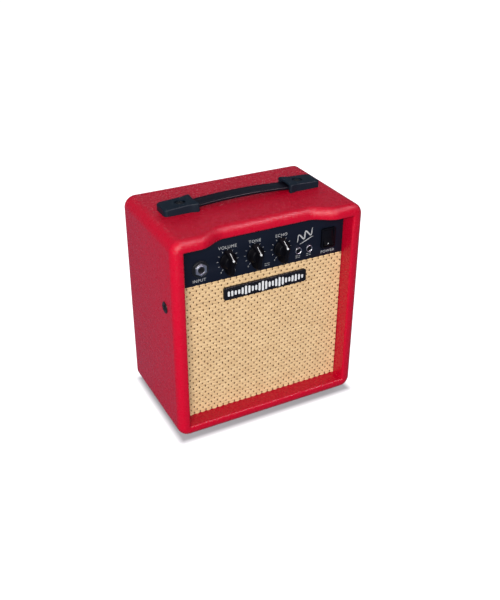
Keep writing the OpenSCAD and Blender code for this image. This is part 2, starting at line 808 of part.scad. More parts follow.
module speaker_yokes() {
    color(bright_metal) for (s = [-1, 1]) at_speaker(s)
        turned([[0, basket_depth - 1.5], [9.2, basket_depth - 1.5], [9.2, magnet_y1],
            [magnet_r - 2, magnet_y1], [magnet_r - 2, magnet_y1 + yoke_t], [0, magnet_y1 + yoke_t]]);
}

module speaker_top_plates() {
    color(bright_metal) for (s = [-1, 1]) at_speaker(s)
        turned([[coil_gap_r, basket_depth], [magnet_r - 2, basket_depth], [magnet_r - 2, magnet_y0],
            [coil_gap_r, magnet_y0]]);
}

cone_y0 = 0.2;
cone_y1 = 10;
neck_r = coil_r + coil_t + 0.02;

module cone() {
    turned([[cone_r, cone_y0], [cone_r, cone_y0 + cone_paper], [neck_r + 0.4, cone_y1], [neck_r, cone_y1],
        [neck_r, cone_y1 - 1], [cone_r - 0.8, cone_y0]]);
}

module left_cone() {
    color([0.13, 0.13, 0.14]) at_speaker(-1) cone();
}

module right_cone() {
    color([0.13, 0.13, 0.14]) at_speaker(1) cone();
}

// A shallow dome over the coil's front end
module dust_cap() {
    cap_y = cone_y1 - 1.6;
    cap_r = 18;
    difference() {
        intersection() {
            translate([0, cap_y + sqrt(cap_r * cap_r - 100), 0]) sphere(r = cap_r, $fn = 64);
            rod(0, 0, cap_y - 6, cap_y, coil_r);
        }
        translate([0, cap_y + sqrt(cap_r * cap_r - 100), 0]) sphere(r = cap_r - 0.4, $fn = 64);
    }
}

module left_dust_cap() {
    color([0.13, 0.13, 0.14]) at_speaker(-1) dust_cap();
}

module right_dust_cap() {
    color([0.13, 0.13, 0.14]) at_speaker(1) dust_cap();
}

module voice_coil() {
    turned([[coil_r, cone_y1 - 1.5], [coil_r + coil_t, cone_y1 - 1.5], [coil_r + coil_t, magnet_y0 + 1],
        [coil_r, magnet_y0 + 1]]);
}

module left_voice_coil() {
    color([0.72, 0.42, 0.2]) at_speaker(-1) voice_coil();
}

module right_voice_coil() {
    color([0.72, 0.42, 0.2]) at_speaker(1) voice_coil();
}

// The half-roll rubber edge between the cone and the frame
module surround() {
    roll_r = 1.9;
    mid_r = 32.1;
    rotate([-90, 0, 0]) rotate_extrude() {
        difference() {
            translate([mid_r, 0.4]) circle(r = roll_r);
            translate([mid_r, 0.4]) circle(r = roll_r - 0.5);
            translate([mid_r - 3, 0.3]) square([6, 4]);
        }
        translate([mid_r + roll_r - 0.5, 0.1]) square([1.8, 0.6]);
    }
}

module left_surround() {
    color([0.1, 0.1, 0.1]) at_speaker(-1) surround();
}

module right_surround() {
    color([0.1, 0.1, 0.1]) at_speaker(1) surround();
}

// The pleated disc that centres the coil
module spider() {
    r0 = coil_r + coil_t + 0.1;
    y0 = 13.4;
    pleats = [for (i = [0 : 9]) [r0 + i * 1.5, y0 + (i % 2) * 1]];
    turned(concat(pleats, [for (p = reversed(pleats)) p + [0, 0.4]]));
}

module left_spider() {
    color([0.8, 0.65, 0.3]) at_speaker(-1) spider();
}

module right_spider() {
    color([0.8, 0.65, 0.3]) at_speaker(1) spider();
}

module speaker_screws() {
    color(soft_black) for (s = [-1, 1]) at_speaker(s) for (dx = [-1, 1], dz = [-1, 1])
        translate([dx * screw_at, frame_t, dz * screw_at]) rotate([-90, 0, 0]) screw(2.8, 1.6, 1.28, 8);
}

top_board();
bottom_board();
left_board();
right_board();
vinyl_covering();
baffle_board();
baffle_battens();
rear_battens();
grille_cloth();
badge_plate();
control_panel();
input_jack();
input_sleeve();
input_washer();
input_nut();
line_sockets();
socket_rings();
volume_pot();
eq_pot();
delay_pot();
pot_nuts();
volume_shaft();
eq_shaft();
delay_shaft();
volume_knob();
eq_knob();
delay_knob();
switch_housing();
switch_rocker();
circuit_board();
capacitors();
amplifier_chip();
heatsink();
rear_panel();
rear_screws();
dc_inlet();
handle_strap();
left_handle_cap();
right_handle_cap();
handle_screws();
side_cups();
side_screws();
feet();
internal_wires();
left_basket();
right_basket();
speaker_magnets();
speaker_yokes();
speaker_top_plates();
left_cone();
right_cone();
left_dust_cap();
right_dust_cap();
left_voice_coil();
right_voice_coil();
left_surround();
right_surround();
left_spider();
right_spider();
speaker_screws();
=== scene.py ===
"""Looks of a small two-speaker guitar practice amplifier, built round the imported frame.

Lengths in this file are millimetres in the frame's own axes, and add_mesh() turns them into metres.
"""
import math

import bmesh
import bpy
import numpy as np
from mathutils import Matrix, Vector


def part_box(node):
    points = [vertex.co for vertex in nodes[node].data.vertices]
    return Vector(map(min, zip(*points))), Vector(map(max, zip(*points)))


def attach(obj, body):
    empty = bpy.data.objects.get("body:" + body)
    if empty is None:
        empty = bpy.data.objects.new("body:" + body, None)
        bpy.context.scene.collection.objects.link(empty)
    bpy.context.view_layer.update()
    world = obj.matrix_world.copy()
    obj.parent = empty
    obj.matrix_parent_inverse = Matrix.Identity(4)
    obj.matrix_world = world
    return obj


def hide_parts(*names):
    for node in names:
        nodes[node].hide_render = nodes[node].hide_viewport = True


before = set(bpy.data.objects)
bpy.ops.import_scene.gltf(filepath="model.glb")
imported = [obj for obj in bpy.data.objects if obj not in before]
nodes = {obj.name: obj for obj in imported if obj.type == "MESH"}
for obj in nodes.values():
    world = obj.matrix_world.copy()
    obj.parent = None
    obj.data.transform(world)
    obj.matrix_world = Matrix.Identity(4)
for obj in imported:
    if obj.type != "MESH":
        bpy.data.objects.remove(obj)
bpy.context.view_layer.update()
scene = bpy.context.scene
scene.view_settings.view_transform = "Standard"

MM = 0.001
TAU = 2 * math.pi


# ---------------------------------------------------------------- measures taken from the frame
def box_mm(node):
    """Lowest and highest corner of a CAD node, in millimetres."""
    low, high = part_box(node)
    return np.array(low) / MM, np.array(high) / MM


def centre_mm(node):
    low, high = box_mm(node)
    return (low + high) / 2


SKIN_LOW, SKIN_HIGH = box_mm("vinyl_covering")
PANEL_LOW, PANEL_HIGH = box_mm("control_panel")
CLOTH_LOW, CLOTH_HIGH = box_mm("grille_cloth")
BADGE_LOW, BADGE_HIGH = box_mm("badge_plate")
STRAP_LOW, STRAP_HIGH = box_mm("handle_strap")
CAP_LOW, CAP_HIGH = box_mm("right_handle_cap")
HALF_W = SKIN_HIGH[0]
HALF_H = (SKIN_HIGH[2] - SKIN_LOW[2]) / 2
MID_Z = (SKIN_HIGH[2] + SKIN_LOW[2]) / 2
FRONT_Y = SKIN_LOW[1]
BACK_Y = SKIN_HIGH[1]
FACE_Y = PANEL_LOW[1]
TOP_Z = SKIN_HIGH[2]
PANEL_GAP = 0.3
WALL = HALF_W - PANEL_HIGH[0] - PANEL_GAP

# Roundings of the covering, as in the CAD model
CORNER_R = 11.0
FRONT_R = 7.5
BACK_R = 3.5
LIP_R = 2.0
BACK_LIP_R = 1.5
INNER_CORNER_R = 0.4
VINYL_T = 0.8
FRONT_WRAP = 2.0
BACK_WRAP = 7.5
SCOOP_DEPTH = 10.8
SCOOP_INNER = 42.0
SCOOP_OUTER = 68.0
SKIN_SHARP = 50.0


# ---------------------------------------------------------------- mesh helpers
# Edges sharper than this stay sharp, in degrees
SHARP = 35.0


def add_mesh(name, points, faces, material, sharp=SHARP):
    """A smooth-shaded mesh object from points in millimetres.

    Edges sharper than the given angle stay sharp.
    """
    mesh = bpy.data.meshes.new(name)
    mesh.from_pydata((np.asarray(points, float) * MM).tolist(), [], faces)
    mesh.validate()
    mesh.materials.append(material)
    obj = bpy.data.objects.new(name, mesh)
    scene.collection.objects.link(obj)
    shade(obj, sharp)
    return obj


def shade(obj, sharp):
    mesh = obj.data
    mesh.polygons.foreach_set("use_smooth", [True] * len(mesh.polygons))
    mesh.set_sharp_from_angle(angle=math.radians(sharp))


def mend_normals(obj):
    """Turns every face of a closed mesh outwards."""
    work = bmesh.new()
    work.from_mesh(obj.data)
    bmesh.ops.recalc_face_normals(work, faces=work.faces)
    work.to_mesh(obj.data)
    work.free()
    return obj


def ring_faces(rings, size, closed=False):
    """Quads between neighbouring rings of points, each ring closed on itself."""
    faces = []
    for i in range(rings if closed else rings - 1):
        a, b = i * size, (i + 1) % rings * size
        for j in range(size):
            k = (j + 1) % size
            faces.append((a + j, a + k, b + k, b + j))
    return faces


def tube_faces(rings, size, start=0):
    """Faces of a tube with flat ends, through equal rings whose first point is number `start`."""
    last = start + (rings - 1) * size
    faces = [tuple(start + v for v in quad) for quad in ring_faces(rings, size)]
    faces.append(tuple(start + j for j in range(size)))
    faces.append(tuple(last + j for j in reversed(range(size))))
    return faces


def skin(name, sections, material, sharp=SHARP):
    """A closed body through equal-sized closed sections, with flat ends."""
    faces = tube_faces(len(sections), len(sections[0]))
    return mend_normals(add_mesh(name, np.concatenate(sections), faces, material, sharp))


def bake(obj):
    """Applies an object's modifiers to its mesh."""
    graph = bpy.context.evaluated_depsgraph_get()
    mesh = bpy.data.meshes.new_from_object(obj.evaluated_get(graph))
    obj.modifiers.clear()
    obj.data = mesh
    shade(obj, SHARP)


def combine(obj, tool, operation):
    """Cuts tool out of obj, or joins it on, and removes it."""
    change = obj.modifiers.new("shape", "BOOLEAN")
    change.object = tool
    change.operation = operation
    change.solver = "EXACT"
    bake(obj)
    bpy.data.objects.remove(tool)


def join(name, parts):
    """One object from several one-material parts, with all their materials."""
    work = bmesh.new()
    materials = []
    for part in parts:
        material = part.data.materials[0]
        if material not in materials:
            materials.append(material)
        index = materials.index(material)
        part.data.polygons.foreach_set("material_index", [index] * len(part.data.polygons))
        part.data.transform(part.matrix_world)
        work.from_mesh(part.data)
    mesh = bpy.data.meshes.new(name)
    work.to_mesh(mesh)
    work.free()
    for material in materials:
        mesh.materials.append(material)
    for part in parts:
        bpy.data.objects.remove(part)
    obj = bpy.data.objects.new(name, mesh)
    scene.collection.objects.link(obj)
    return obj


def turned(name, outline, material, at, sides=64):
    """A body of revolution about the Y axis through `at`. The outline is (radius, height off the panel)."""
    angles = np.arange(sides) * TAU / sides
    sections = []
    for radius, height in outline:
        y = at[1] - height
        sections.append([(at[0] + radius * math.cos(a), y, at[2] + radius * math.sin(a)) for a in angles])
    return skin(name, sections, material, 30.0)


def arc(cx, cy, radius, start, end, steps):
    """Points along an arc, angles in degrees."""
    angles = np.radians(np.linspace(start, end, steps + 1))
    return [(cx + radius * math.cos(a), cy + radius * math.sin(a)) for a in angles]


def rounded_outline(width, height, radius, steps=6):
    """A rectangle with round corners about the origin, counter-clockwise."""
    points = []
    for k, (sx, sy) in enumerate(((1, 1), (-1, 1), (-1, -1), (1, -1))):
        centre = (sx * (width / 2 - radius), sy * (height / 2 - radius))
        points += arc(*centre, radius, 90 * k, 90 * k + 90, steps)
    return points


def finish_cad(node, material, bevel, segments=2):
    """Gives a CAD node its material, smooth curved faces and small rounded edges."""
    obj = nodes[node]
    obj.data.materials.clear()
    obj.data.materials.append(material)
    obj.data.polygons.foreach_set("use_smooth", [True] * len(obj.data.polygons))
    weld = obj.modifiers.new("weld", "WELD")
    weld.merge_threshold = 0.002 * MM
    if bevel:
        flat = obj.modifiers.new("flat", "DECIMATE")
        flat.decimate_type = "DISSOLVE"
        flat.angle_limit = math.radians(1.0)
        edge = obj.modifiers.new("edges", "BEVEL")
        edge.width = bevel * MM
        edge.segments = segments
        edge.limit_method = "ANGLE"
        edge.angle_limit = math.radians(25.0)
        edge.harden_normals = False


# ---------------------------------------------------------------- material helpers
class Surface:
    """A procedural material. Textures are laid out in object space, with sizes in millimetres."""

    def __init__(self, name, colour, roughness=0.5, metallic=0.0, specular=0.5):
        self.material = bpy.data.materials.new(name)
        self.material.use_nodes = True
        self.tree = self.material.node_tree
        self.shader = self.tree.nodes["Principled BSDF"]
        self.normal = None
        self.put("Base Color", (*colour, 1.0))
        self.put("Roughness", roughness)
        self.put("Metallic", metallic)
        self.put("Specular IOR Level", specular)
        place = self.add("ShaderNodeTexCoord").outputs["Object"]
        scale = self.add("ShaderNodeVectorMath", operation="SCALE")
        scale.inputs["Scale"].default_value = 1 / MM
        self.link(place, scale.inputs[0])
        self.place = scale.outputs[0]

    def add(self, kind, **settings):
        node = self.tree.nodes.new(kind)
        for key, value in settings.items():
            setattr(node, key, value)
        return node

    def link(self, source, target):
        self.tree.links.new(source, target)

    def put(self, socket, value):
        self.shader.inputs[socket].default_value = value

    def stretched(self, x, y, z):
        """The place with each axis multiplied, so that a texture runs long where the factor is small."""
        node = self.add("ShaderNodeVectorMath", operation="MULTIPLY")
        self.link(self.place, node.inputs[0])
        node.inputs[1].default_value = (x, y, z)
        return node.outputs[0]

    def noise(self, size, detail=3.0, roughness=0.5, vector=None, distortion=0.0):
        node = self.add("ShaderNodeTexNoise")
        self.link(vector or self.place, node.inputs["Vector"])
        node.inputs["Scale"].default_value = 1 / size
        node.inputs["Detail"].default_value = detail
        node.inputs["Roughness"].default_value = roughness
        node.inputs["Distortion"].default_value = distortion
        return node.outputs["Fac"]

    def cells(self, size, feature="DISTANCE_TO_EDGE", vector=None):
        node = self.add("ShaderNodeTexVoronoi", feature=feature)
        self.link(vector or self.place, node.inputs["Vector"])
        node.inputs["Scale"].default_value = 1 / size
        return node.outputs["Distance"]

    def waves(self, size, direction="X", distortion=0.0):
        node = self.add("ShaderNodeTexWave", bands_direction=direction)
        self.link(self.place, node.inputs["Vector"])
        node.inputs["Scale"].default_value = TAU / 20 / size
        node.inputs["Distortion"].default_value = distortion
        node.inputs["Detail"].default_value = 1.0
        return node.outputs["Fac"]

    def wobbled(self, size, amount):
        """The place pushed about by a noise, so that what is drawn there is uneven."""
        source = self.add("ShaderNodeTexNoise")
        self.link(self.place, source.inputs["Vector"])
        source.inputs["Scale"].default_value = 1 / size
        push = self.add("ShaderNodeVectorMath", operation="MULTIPLY_ADD")
        self.link(source.outputs["Color"], push.inputs[0])
        push.inputs[1].default_value = (amount, amount, amount)
        self.link(self.place, push.inputs[2])
        return push.outputs[0]

    def ramp(self, value, stops):
        """Maps a value through (position, grey) or (position, colour) stops."""
        node = self.add("ShaderNodeValToRGB")
        self.link(value, node.inputs["Fac"])
        elements = node.color_ramp.elements
        while len(elements) < len(stops):
            elements.new(0.5)
        for element, (position, tone) in zip(elements, stops):
            element.position = position
            element.color = (tone, tone, tone, 1) if isinstance(tone, (int, float)) else (*tone, 1)
        return node.outputs["Color"]

    def calculate(self, operation, a, b):
        node = self.add("ShaderNodeMath", operation=operation)
        for socket, value in zip(node.inputs, (a, b)):
            if isinstance(value, (int, float)):
                socket.default_value = value
            else:
                self.link(value, socket)
        return node.outputs[0]

    def blend(self, factor, a, b):
        """A colour between two colours, each a tuple or a socket."""
        node = self.add("ShaderNodeMix", data_type="RGBA")
        self.link(factor, node.inputs["Factor"])
        for socket, value in ((node.inputs[6], a), (node.inputs[7], b)):
            if isinstance(value, tuple):
                socket.default_value = (*value, 1)
            else:
                self.link(value, socket)
        return node.outputs[2]

    def paint(self, colour):
        self.link(colour, self.shader.inputs["Base Color"])

    def rough(self, value, low, high):
        node = self.add("ShaderNodeMapRange")
        self.link(value, node.inputs["Value"])
        node.inputs["To Min"].default_value = low
        node.inputs["To Max"].default_value = high
        self.link(node.outputs["Result"], self.shader.inputs["Roughness"])

    def bump(self, height, depth):
        """Raises the surface by `depth` millimetres where the height is 1, on top of earlier bumps."""
        node = self.add("ShaderNodeBump")
        node.inputs["Strength"].default_value = 1.0
        node.inputs["Distance"].default_value = depth * MM
        self.link(height, node.inputs["Height"])
        if self.normal:
            self.link(self.normal, node.inputs["Normal"])
        self.normal = node.outputs["Normal"]
        self.link(self.normal, self.shader.inputs["Normal"])


# ---------------------------------------------------------------- materials
def red_vinyl():
    """Vinyl with a fine pebble grain, painted shade in the creases between the pebbles, and a soft, broken
    gloss.
    """
    s = Surface("red_vinyl", (0.46, 0.001, 0.017), 0.34, specular=0.24)
    pebble = s.cells(0.95, vector=s.wobbled(1.2, 0.9))
    grain = s.ramp(pebble, [(0.0, 0.0), (0.2, 0.75), (0.5, 1.0)])
    slack = s.noise(24.0, detail=1.0)
    tone = s.blend(s.noise(36.0), (0.40, 0.001, 0.016), (0.465, 0.0015, 0.021))
    mottling = s.ramp(s.noise(1.3, detail=2.0), [(0.35, 0.0), (0.65, 1.0)])
    mottled = s.blend(mottling, (0.385, 0.0005, 0.014), tone)
    # The creases between the pebbles are painted darker than their tops: painted shade in the grain.
    s.paint(s.blend(grain, (0.36, 0.0005, 0.013), mottled))
    s.rough(s.noise(5.0), 0.22, 0.34)
    s.bump(slack, 0.4)
    s.bump(grain, 0.08)
    s.bump(s.noise(0.4, detail=2.0), 0.02)
    return s.material


def raw_wood():
    """Plain board with long, faint grain along X."""
    s = Surface("raw_board", (0.62, 0.47, 0.31), 0.75)
    lines = s.noise(1.6, detail=5.0, vector=s.stretched(0.03, 1.0, 1.0), distortion=0.6)
    s.paint(s.ramp(lines, [(0.25, (0.42, 0.27, 0.14)), (0.5, (0.60, 0.43, 0.26)), (0.8, (0.70, 0.54, 0.36))]))
    s.bump(lines, 0.08)
    return s.material


def straw_thread(name, dark, light, twist, specular=0.3, sheen=0.15):
    """Paper-like yarn: long streaks along the thread and a fine twist across it."""
    s = Surface(name, light, 0.72, specular=specular)
    streak = s.noise(1.1, detail=3.0, vector=s.stretched(0.10, 1.0, 1.0))
    patch = s.noise(9.0, detail=2.0)
    s.paint(s.blend(s.calculate("MULTIPLY", streak, s.calculate("ADD", patch, 0.55)), dark, light))
    s.bump(s.waves(twist, "DIAGONAL", 0.8), 0.05)
    s.bump(s.noise(0.4), 0.03)
    s.put("Sheen Weight", sheen)
    return s.material


def moulded(name, colour, roughness, grain=0.3, depth=0.02, specular=0.4):
    """Moulded plastic with a spark-eroded grain and slightly uneven gloss."""
    s = Surface(name, colour, roughness, specular=specular)
    s.paint(s.blend(s.noise(14.0), tuple(c * 0.85 for c in colour), tuple(c * 1.2 for c in colour)))
    s.rough(s.noise(3.0, detail=4.0), max(roughness - 0.07, 0.03), roughness + 0.07)
    s.bump(s.noise(grain, detail=2.0), depth)
    return s.material


def metal(name, colour, roughness, brushed=(1.0, 1.0, 1.0)):
    """Metal with fine tool marks that run along the axis with the smallest factor."""
    s = Surface(name, colour, roughness, metallic=1.0)
    marks = s.noise(0.35, detail=3.0, vector=s.stretched(*brushed))
    s.rough(marks, max(roughness - 0.08, 0.04), roughness + 0.10)
    s.paint(s.blend(s.noise(5.0), tuple(c * 0.86 for c in colour), colour))
    s.bump(marks, 0.004)
    return s.material


def navy_panel():
    """Satin painted panel with the faintest orange peel."""
    s = Surface("navy_panel", (0.004, 0.006, 0.013), 0.45, specular=0.10)
    s.paint(s.blend(s.noise(30.0), (0.003, 0.0045, 0.010), (0.005, 0.007, 0.014)))
    s.rough(s.noise(8.0), 0.36, 0.48)
    s.bump(s.noise(0.9), 0.012)
    return s.material


def white_print(name="white_print", tone=0.82):
    s = Surface(name, (tone, tone, tone), 0.5, specular=0.3)
    s.paint(s.blend(s.noise(0.6), (tone * 0.88,) * 3, (tone,) * 3))
    s.bump(s.noise(0.25), 0.01)
    return s.material


def rear_paint():
    """Black textured paint on board."""
    s = Surface("rear_paint", (0.018, 0.018, 0.02), 0.62, specular=0.35)
    specks = s.cells(0.9, feature="F1", vector=s.wobbled(0.8, 0.6))
    s.paint(s.blend(s.noise(18.0), (0.013, 0.013, 0.015), (0.024, 0.024, 0.027)))
    s.rough(s.noise(2.0), 0.52, 0.72)
    s.bump(specks, 0.09)
    s.bump(s.noise(0.35), 0.02)
    return s.material


def board_laminate():
    """Green solder mask with slightly raised tracks and pale pads."""
    s = Surface("board_laminate", (0.01, 0.10, 0.04), 0.35)
    tracks = s.ramp(s.cells(2.4, vector=s.stretched(1.0, 0.01, 1.0)), [(0.06, 1.0), (0.09, 0.0)])
    s.paint(s.blend(tracks, (0.008, 0.085, 0.035), (0.018, 0.17, 0.06)))
    s.bump(tracks, 0.03)
    s.bump(s.noise(0.5), 0.005)
    return s.material


def cone_paper():
    """Pressed black paper with loose fibres."""
    s = Surface("cone_paper", (0.02, 0.02, 0.022), 0.8, specular=0.25)
    fibre = s.noise(0.7, detail=6.0, roughness=0.7, distortion=1.5)
    s.paint(s.ramp(fibre, [(0.3, (0.012, 0.012, 0.013)), (0.7, (0.045, 0.045, 0.05))]))
    s.bump(fibre, 0.06)
    return s.material


def spider_cloth():
    """Resin-stiffened cloth in a close square weave."""
    s = Surface("spider_cloth", (0.55, 0.38, 0.14), 0.7)
    over = s.calculate("MULTIPLY", s.waves(0.5, "X"), s.waves(0.5, "Z"))
    s.paint(s.blend(over, (0.36, 0.22, 0.07), (0.66, 0.48, 0.20)))
    s.bump(over, 0.05)
    return s.material


def copper_winding():
    s = Surface("copper_winding", (0.75, 0.33, 0.14), 0.3, metallic=1.0)
    turns = s.waves(0.25, "Y")
    s.paint(s.blend(turns, (0.42, 0.14, 0.05), (0.82, 0.40, 0.18)))
    s.bump(turns, 0.05)
    return s.material


def ferrite():
    s = Surface("ferrite", (0.06, 0.055, 0.055), 0.7)
    grit = s.noise(1.2, detail=6.0, roughness=0.7)
    s.paint(s.ramp(grit, [(0.35, (0.035, 0.03, 0.03)), (0.7, (0.10, 0.095, 0.09))]))
    s.bump(s.noise(0.8, detail=4.0), 0.05)
    return s.material


def capacitor_sleeve():
    """Printed sleeve with a pale stripe down one side."""
    s = Surface("capacitor_sleeve", (0.02, 0.03, 0.09), 0.28)
    stripe = s.ramp(s.waves(10.0, "X"), [(0.93, 0.0), (0.96, 1.0)])
    s.paint(s.blend(stripe, (0.02, 0.03, 0.09), (0.55, 0.58, 0.62)))
    s.bump(s.noise(1.5), 0.02)
    return s.material


VINYL = red_vinyl()
WOOD = raw_wood()
WEFT = straw_thread("straw_weft", (0.37, 0.22, 0.095), (0.65, 0.465, 0.255), 0.9)
# The warp is near-black as painted shade for the weave's holes.
SHADE_WARP = straw_thread("warp_painted_shade", (0.030, 0.010, 0.003), (0.085, 0.032, 0.008), 0.5, 0.05, 0.0)
# The backing is near-black as painted shade seen through the weave's holes.
SHADE_BACKING = straw_thread("shade_backing", (0.02, 0.008, 0.002), (0.06, 0.025, 0.007), 0.6, 0.05, 0.0)
BADGE = moulded("badge_plastic", (0.004, 0.004, 0.006), 0.25, depth=0.004, specular=0.2)
PANEL = navy_panel()
PRINT = white_print(tone=0.34)
FINE_PRINT = white_print("fine_print", 0.2)
BADGE_WHITE = white_print("badge_white", 0.56)
BLACK = moulded("black_plastic", (0.005, 0.006, 0.008), 0.38, specular=0.2)
ROCKER = moulded("rocker_plastic", (0.0012, 0.0012, 0.0022), 0.30, depth=0.004, specular=0.16)
CHROME = metal("nickel_plate", (0.44, 0.44, 0.48), 0.34)
STEEL = metal("pot_steel", (0.62, 0.62, 0.62), 0.34, (1.0, 0.1, 1.0))
SHAFT = metal("shaft_metal", (0.72, 0.72, 0.74), 0.25, (1.0, 0.1, 1.0))
ZINC = metal("plated_steel", (0.58, 0.58, 0.60), 0.32)
FINS = metal("heatsink_aluminium", (0.66, 0.66, 0.68), 0.38, (0.1, 1.0, 1.0))
KNOB = moulded("knob_plastic", (0.0015, 0.0015, 0.0025), 0.46, depth=0.006, specular=0.08)
LAMINATE = board_laminate()
SLEEVE = capacitor_sleeve()
REAR = rear_paint()
SCREW = moulded("black_screws", (0.005, 0.005, 0.006), 0.32, grain=0.2, depth=0.008, specular=0.3)
STRAP = moulded("strap_vinyl", (0.004, 0.003, 0.006), 0.34, grain=0.5, depth=0.02, specular=0.12)
CAP = moulded("cap_plastic", (0.004, 0.008, 0.014), 0.42, grain=0.45, depth=0.02, specular=0.14)
RUBBER = moulded("foot_rubber", (0.012, 0.012, 0.012), 0.75, grain=0.6, depth=0.05, specular=0.2)
WIRE = moulded("wire_sleeve", (0.012, 0.012, 0.013), 0.45)
BASKET = moulded("basket_paint", (0.022, 0.022, 0.024), 0.42, grain=0.8, depth=0.03)
PAPER = cone_paper()
COPPER = copper_winding()
SURROUND = moulded("surround_rubber", (0.012, 0.012, 0.013), 0.55, depth=0.01)
SPIDER = spider_cloth()
MAGNET = ferrite()


# ---------------------------------------------------------------- vinyl covering
def smooth_step(t):
    t = min(max(t, 0.0), 1.0)
    return t * t * (3 - 2 * t)


def setback(x):
    """How far the top front lip stands back at x."""
    return SCOOP_DEPTH * smooth_step((SCOOP_OUTER - abs(x)) / (SCOOP_OUTER - SCOOP_INNER))


def corner_stations(k):
    """The wall's outer and inner points round one corner, with no set-back."""
    sx = 1 if k in (0, 3) else -1
    sz = 1 if k < 2 else -1

    def rounding(inset, radius):
        return arc(sx * (HALF_W - inset), sz * (HALF_H - inset), radius, 90 * k, 90 * k + 90, 14)

    outer = rounding(CORNER_R, CORNER_R)
    inner = rounding(WALL + INNER_CORNER_R, INNER_CORNER_R)
    return [(*out_point, *in_point, 0.0) for out_point, in_point in zip(outer, inner)]


def lip_stations():
    """Stations along the top, close together where the lip swings back."""
    side = np.linspace(SCOOP_OUTER, SCOOP_INNER, 31)
    places = [*side, *np.linspace(SCOOP_INNER, -SCOOP_INNER, 9)[1:-1], *(-side[::-1])]
    return [(x, HALF_H, x, HALF_H - WALL, setback(x)) for x in places]


def wall_profile(offset):
    """(depth into the wall, y, share of the set-back) round the wall, `offset` below its surface."""
    def turn(cx, cy, radius, start, end, steps, share):
        return [(x, y, share) for x, y in arc(cx, cy, radius - offset, start, end, steps)]

    return [
        (WALL - offset, FACE_Y + FRONT_WRAP, 0.0),
        *turn(WALL - LIP_R, FRONT_Y + LIP_R, LIP_R, 0, -90, 6, 1.0),
        *turn(FRONT_R, FRONT_Y + FRONT_R, FRONT_R, -90, -180, 14, 1.0),
        *turn(BACK_R, BACK_Y - BACK_R, BACK_R, 180, 90, 8, 0.0),
        *turn(WALL - BACK_LIP_R, BACK_Y - BACK_LIP_R, BACK_LIP_R, 90, 0, 5, 0.0),
        (WALL - offset, BACK_Y - BACK_WRAP, 0.0),
    ]


def vinyl_covering():
    """The grained skin, turned into the front and back openings."""
    stations = corner_stations(0) + lip_stations()
    for k in (1, 2, 3):
        stations += corner_stations(k)
    profile = wall_profile(0.0) + wall_profile(VINYL_T)[::-1]
    points = []
    for ox, oz, ix, iz, back in stations:
        for depth, y, share in profile:
            f = depth / WALL
            points.append((ox + (ix - ox) * f, y + share * back, MID_Z + oz + (iz - oz) * f))
    faces = ring_faces(len(stations), len(profile), closed=True)
    obj = mend_normals(add_mesh("vinyl_skin", points, faces, VINYL, SKIN_SHARP))
    shade(obj, SKIN_SHARP)
    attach(obj, "cabinet")
    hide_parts("vinyl_covering")


# ---------------------------------------------------------------- grille cloth
WEFT_ROWS = 40
# A weft thread's run from one dive to the next, and the points along it
FLOAT_LENGTH = 6.1
FLOAT_STEPS = 8
WARP_PITCH = FLOAT_LENGTH / 2
WEFT_INSET = 0.2
BACKING_DEPTH = 0.85
BACKING_FOLD = 0.8
# How far a pair of weft threads spreads as a share of its row: at a dive, and what a crest adds
DIVE_REACH = 0.36
CREST_GAIN = 0.16
SWELL_RANGE = (0.09, 0.21)
EVEN_ROW_SWELL = 0.05
# Depth behind the panel's face of the weft's dives and of the warp, and how far each crest comes forward
WEFT_DEPTH = 0.66
WEFT_CREST = 0.50
WARP_DEPTH = 0.52
WARP_CREST = 0.34


def cloth_measures():
    """Left and right edge, bottom, top and row height of the cloth's front."""
    low, high = CLOTH_LOW[0], CLOTH_HIGH[0]
    bottom, top = CLOTH_LOW[2], CLOTH_HIGH[2]
    return low, high, bottom, top, (top - bottom) / WEFT_ROWS


def shade_backing():
    """The dark under-layer, folded back round the baffle's two sides and its bottom edge. Its near-black is
    painted shade seen through the weave's holes.
    """
    low, high, bottom, top, _ = cloth_measures()
    front, back = FACE_Y + BACKING_DEPTH, CLOTH_HIGH[1]
    fold = BACKING_FOLD
    xs = [low, low + fold, *np.linspace(low + fold, high - fold, 24)[1:-1], high - fold, high]
    zs = [bottom, bottom + fold, *np.linspace(bottom + fold, top, 20)[1:]]
    points = [(x, front + (fold if x in (low, high) or z == bottom else 0.0), z) for z in zs for x in xs]
    width = len(xs)
    faces = []
    for j in range(len(zs) - 1):
        for i in range(width - 1):
            a = j * width + i
            faces.append((a, a + 1, a + width + 1, a + width))
    for column in (0, width - 1):
        start = len(points)
        points += [(xs[column], back, z) for z in zs[1:]]
        for j in range(len(zs) - 2):
            front_a = (j + 1) * width + column
            faces.append((front_a, front_a + width, start + j + 1, start + j))
    start = len(points)
    points += [(x, back, bottom) for x in xs[1:-1]]
    for i in range(width - 3):
        faces.append((i + 1, i + 2, start + i + 1, start + i))
    return add_mesh("grille_cloth_backing", points, faces, SHADE_BACKING, 60.0)


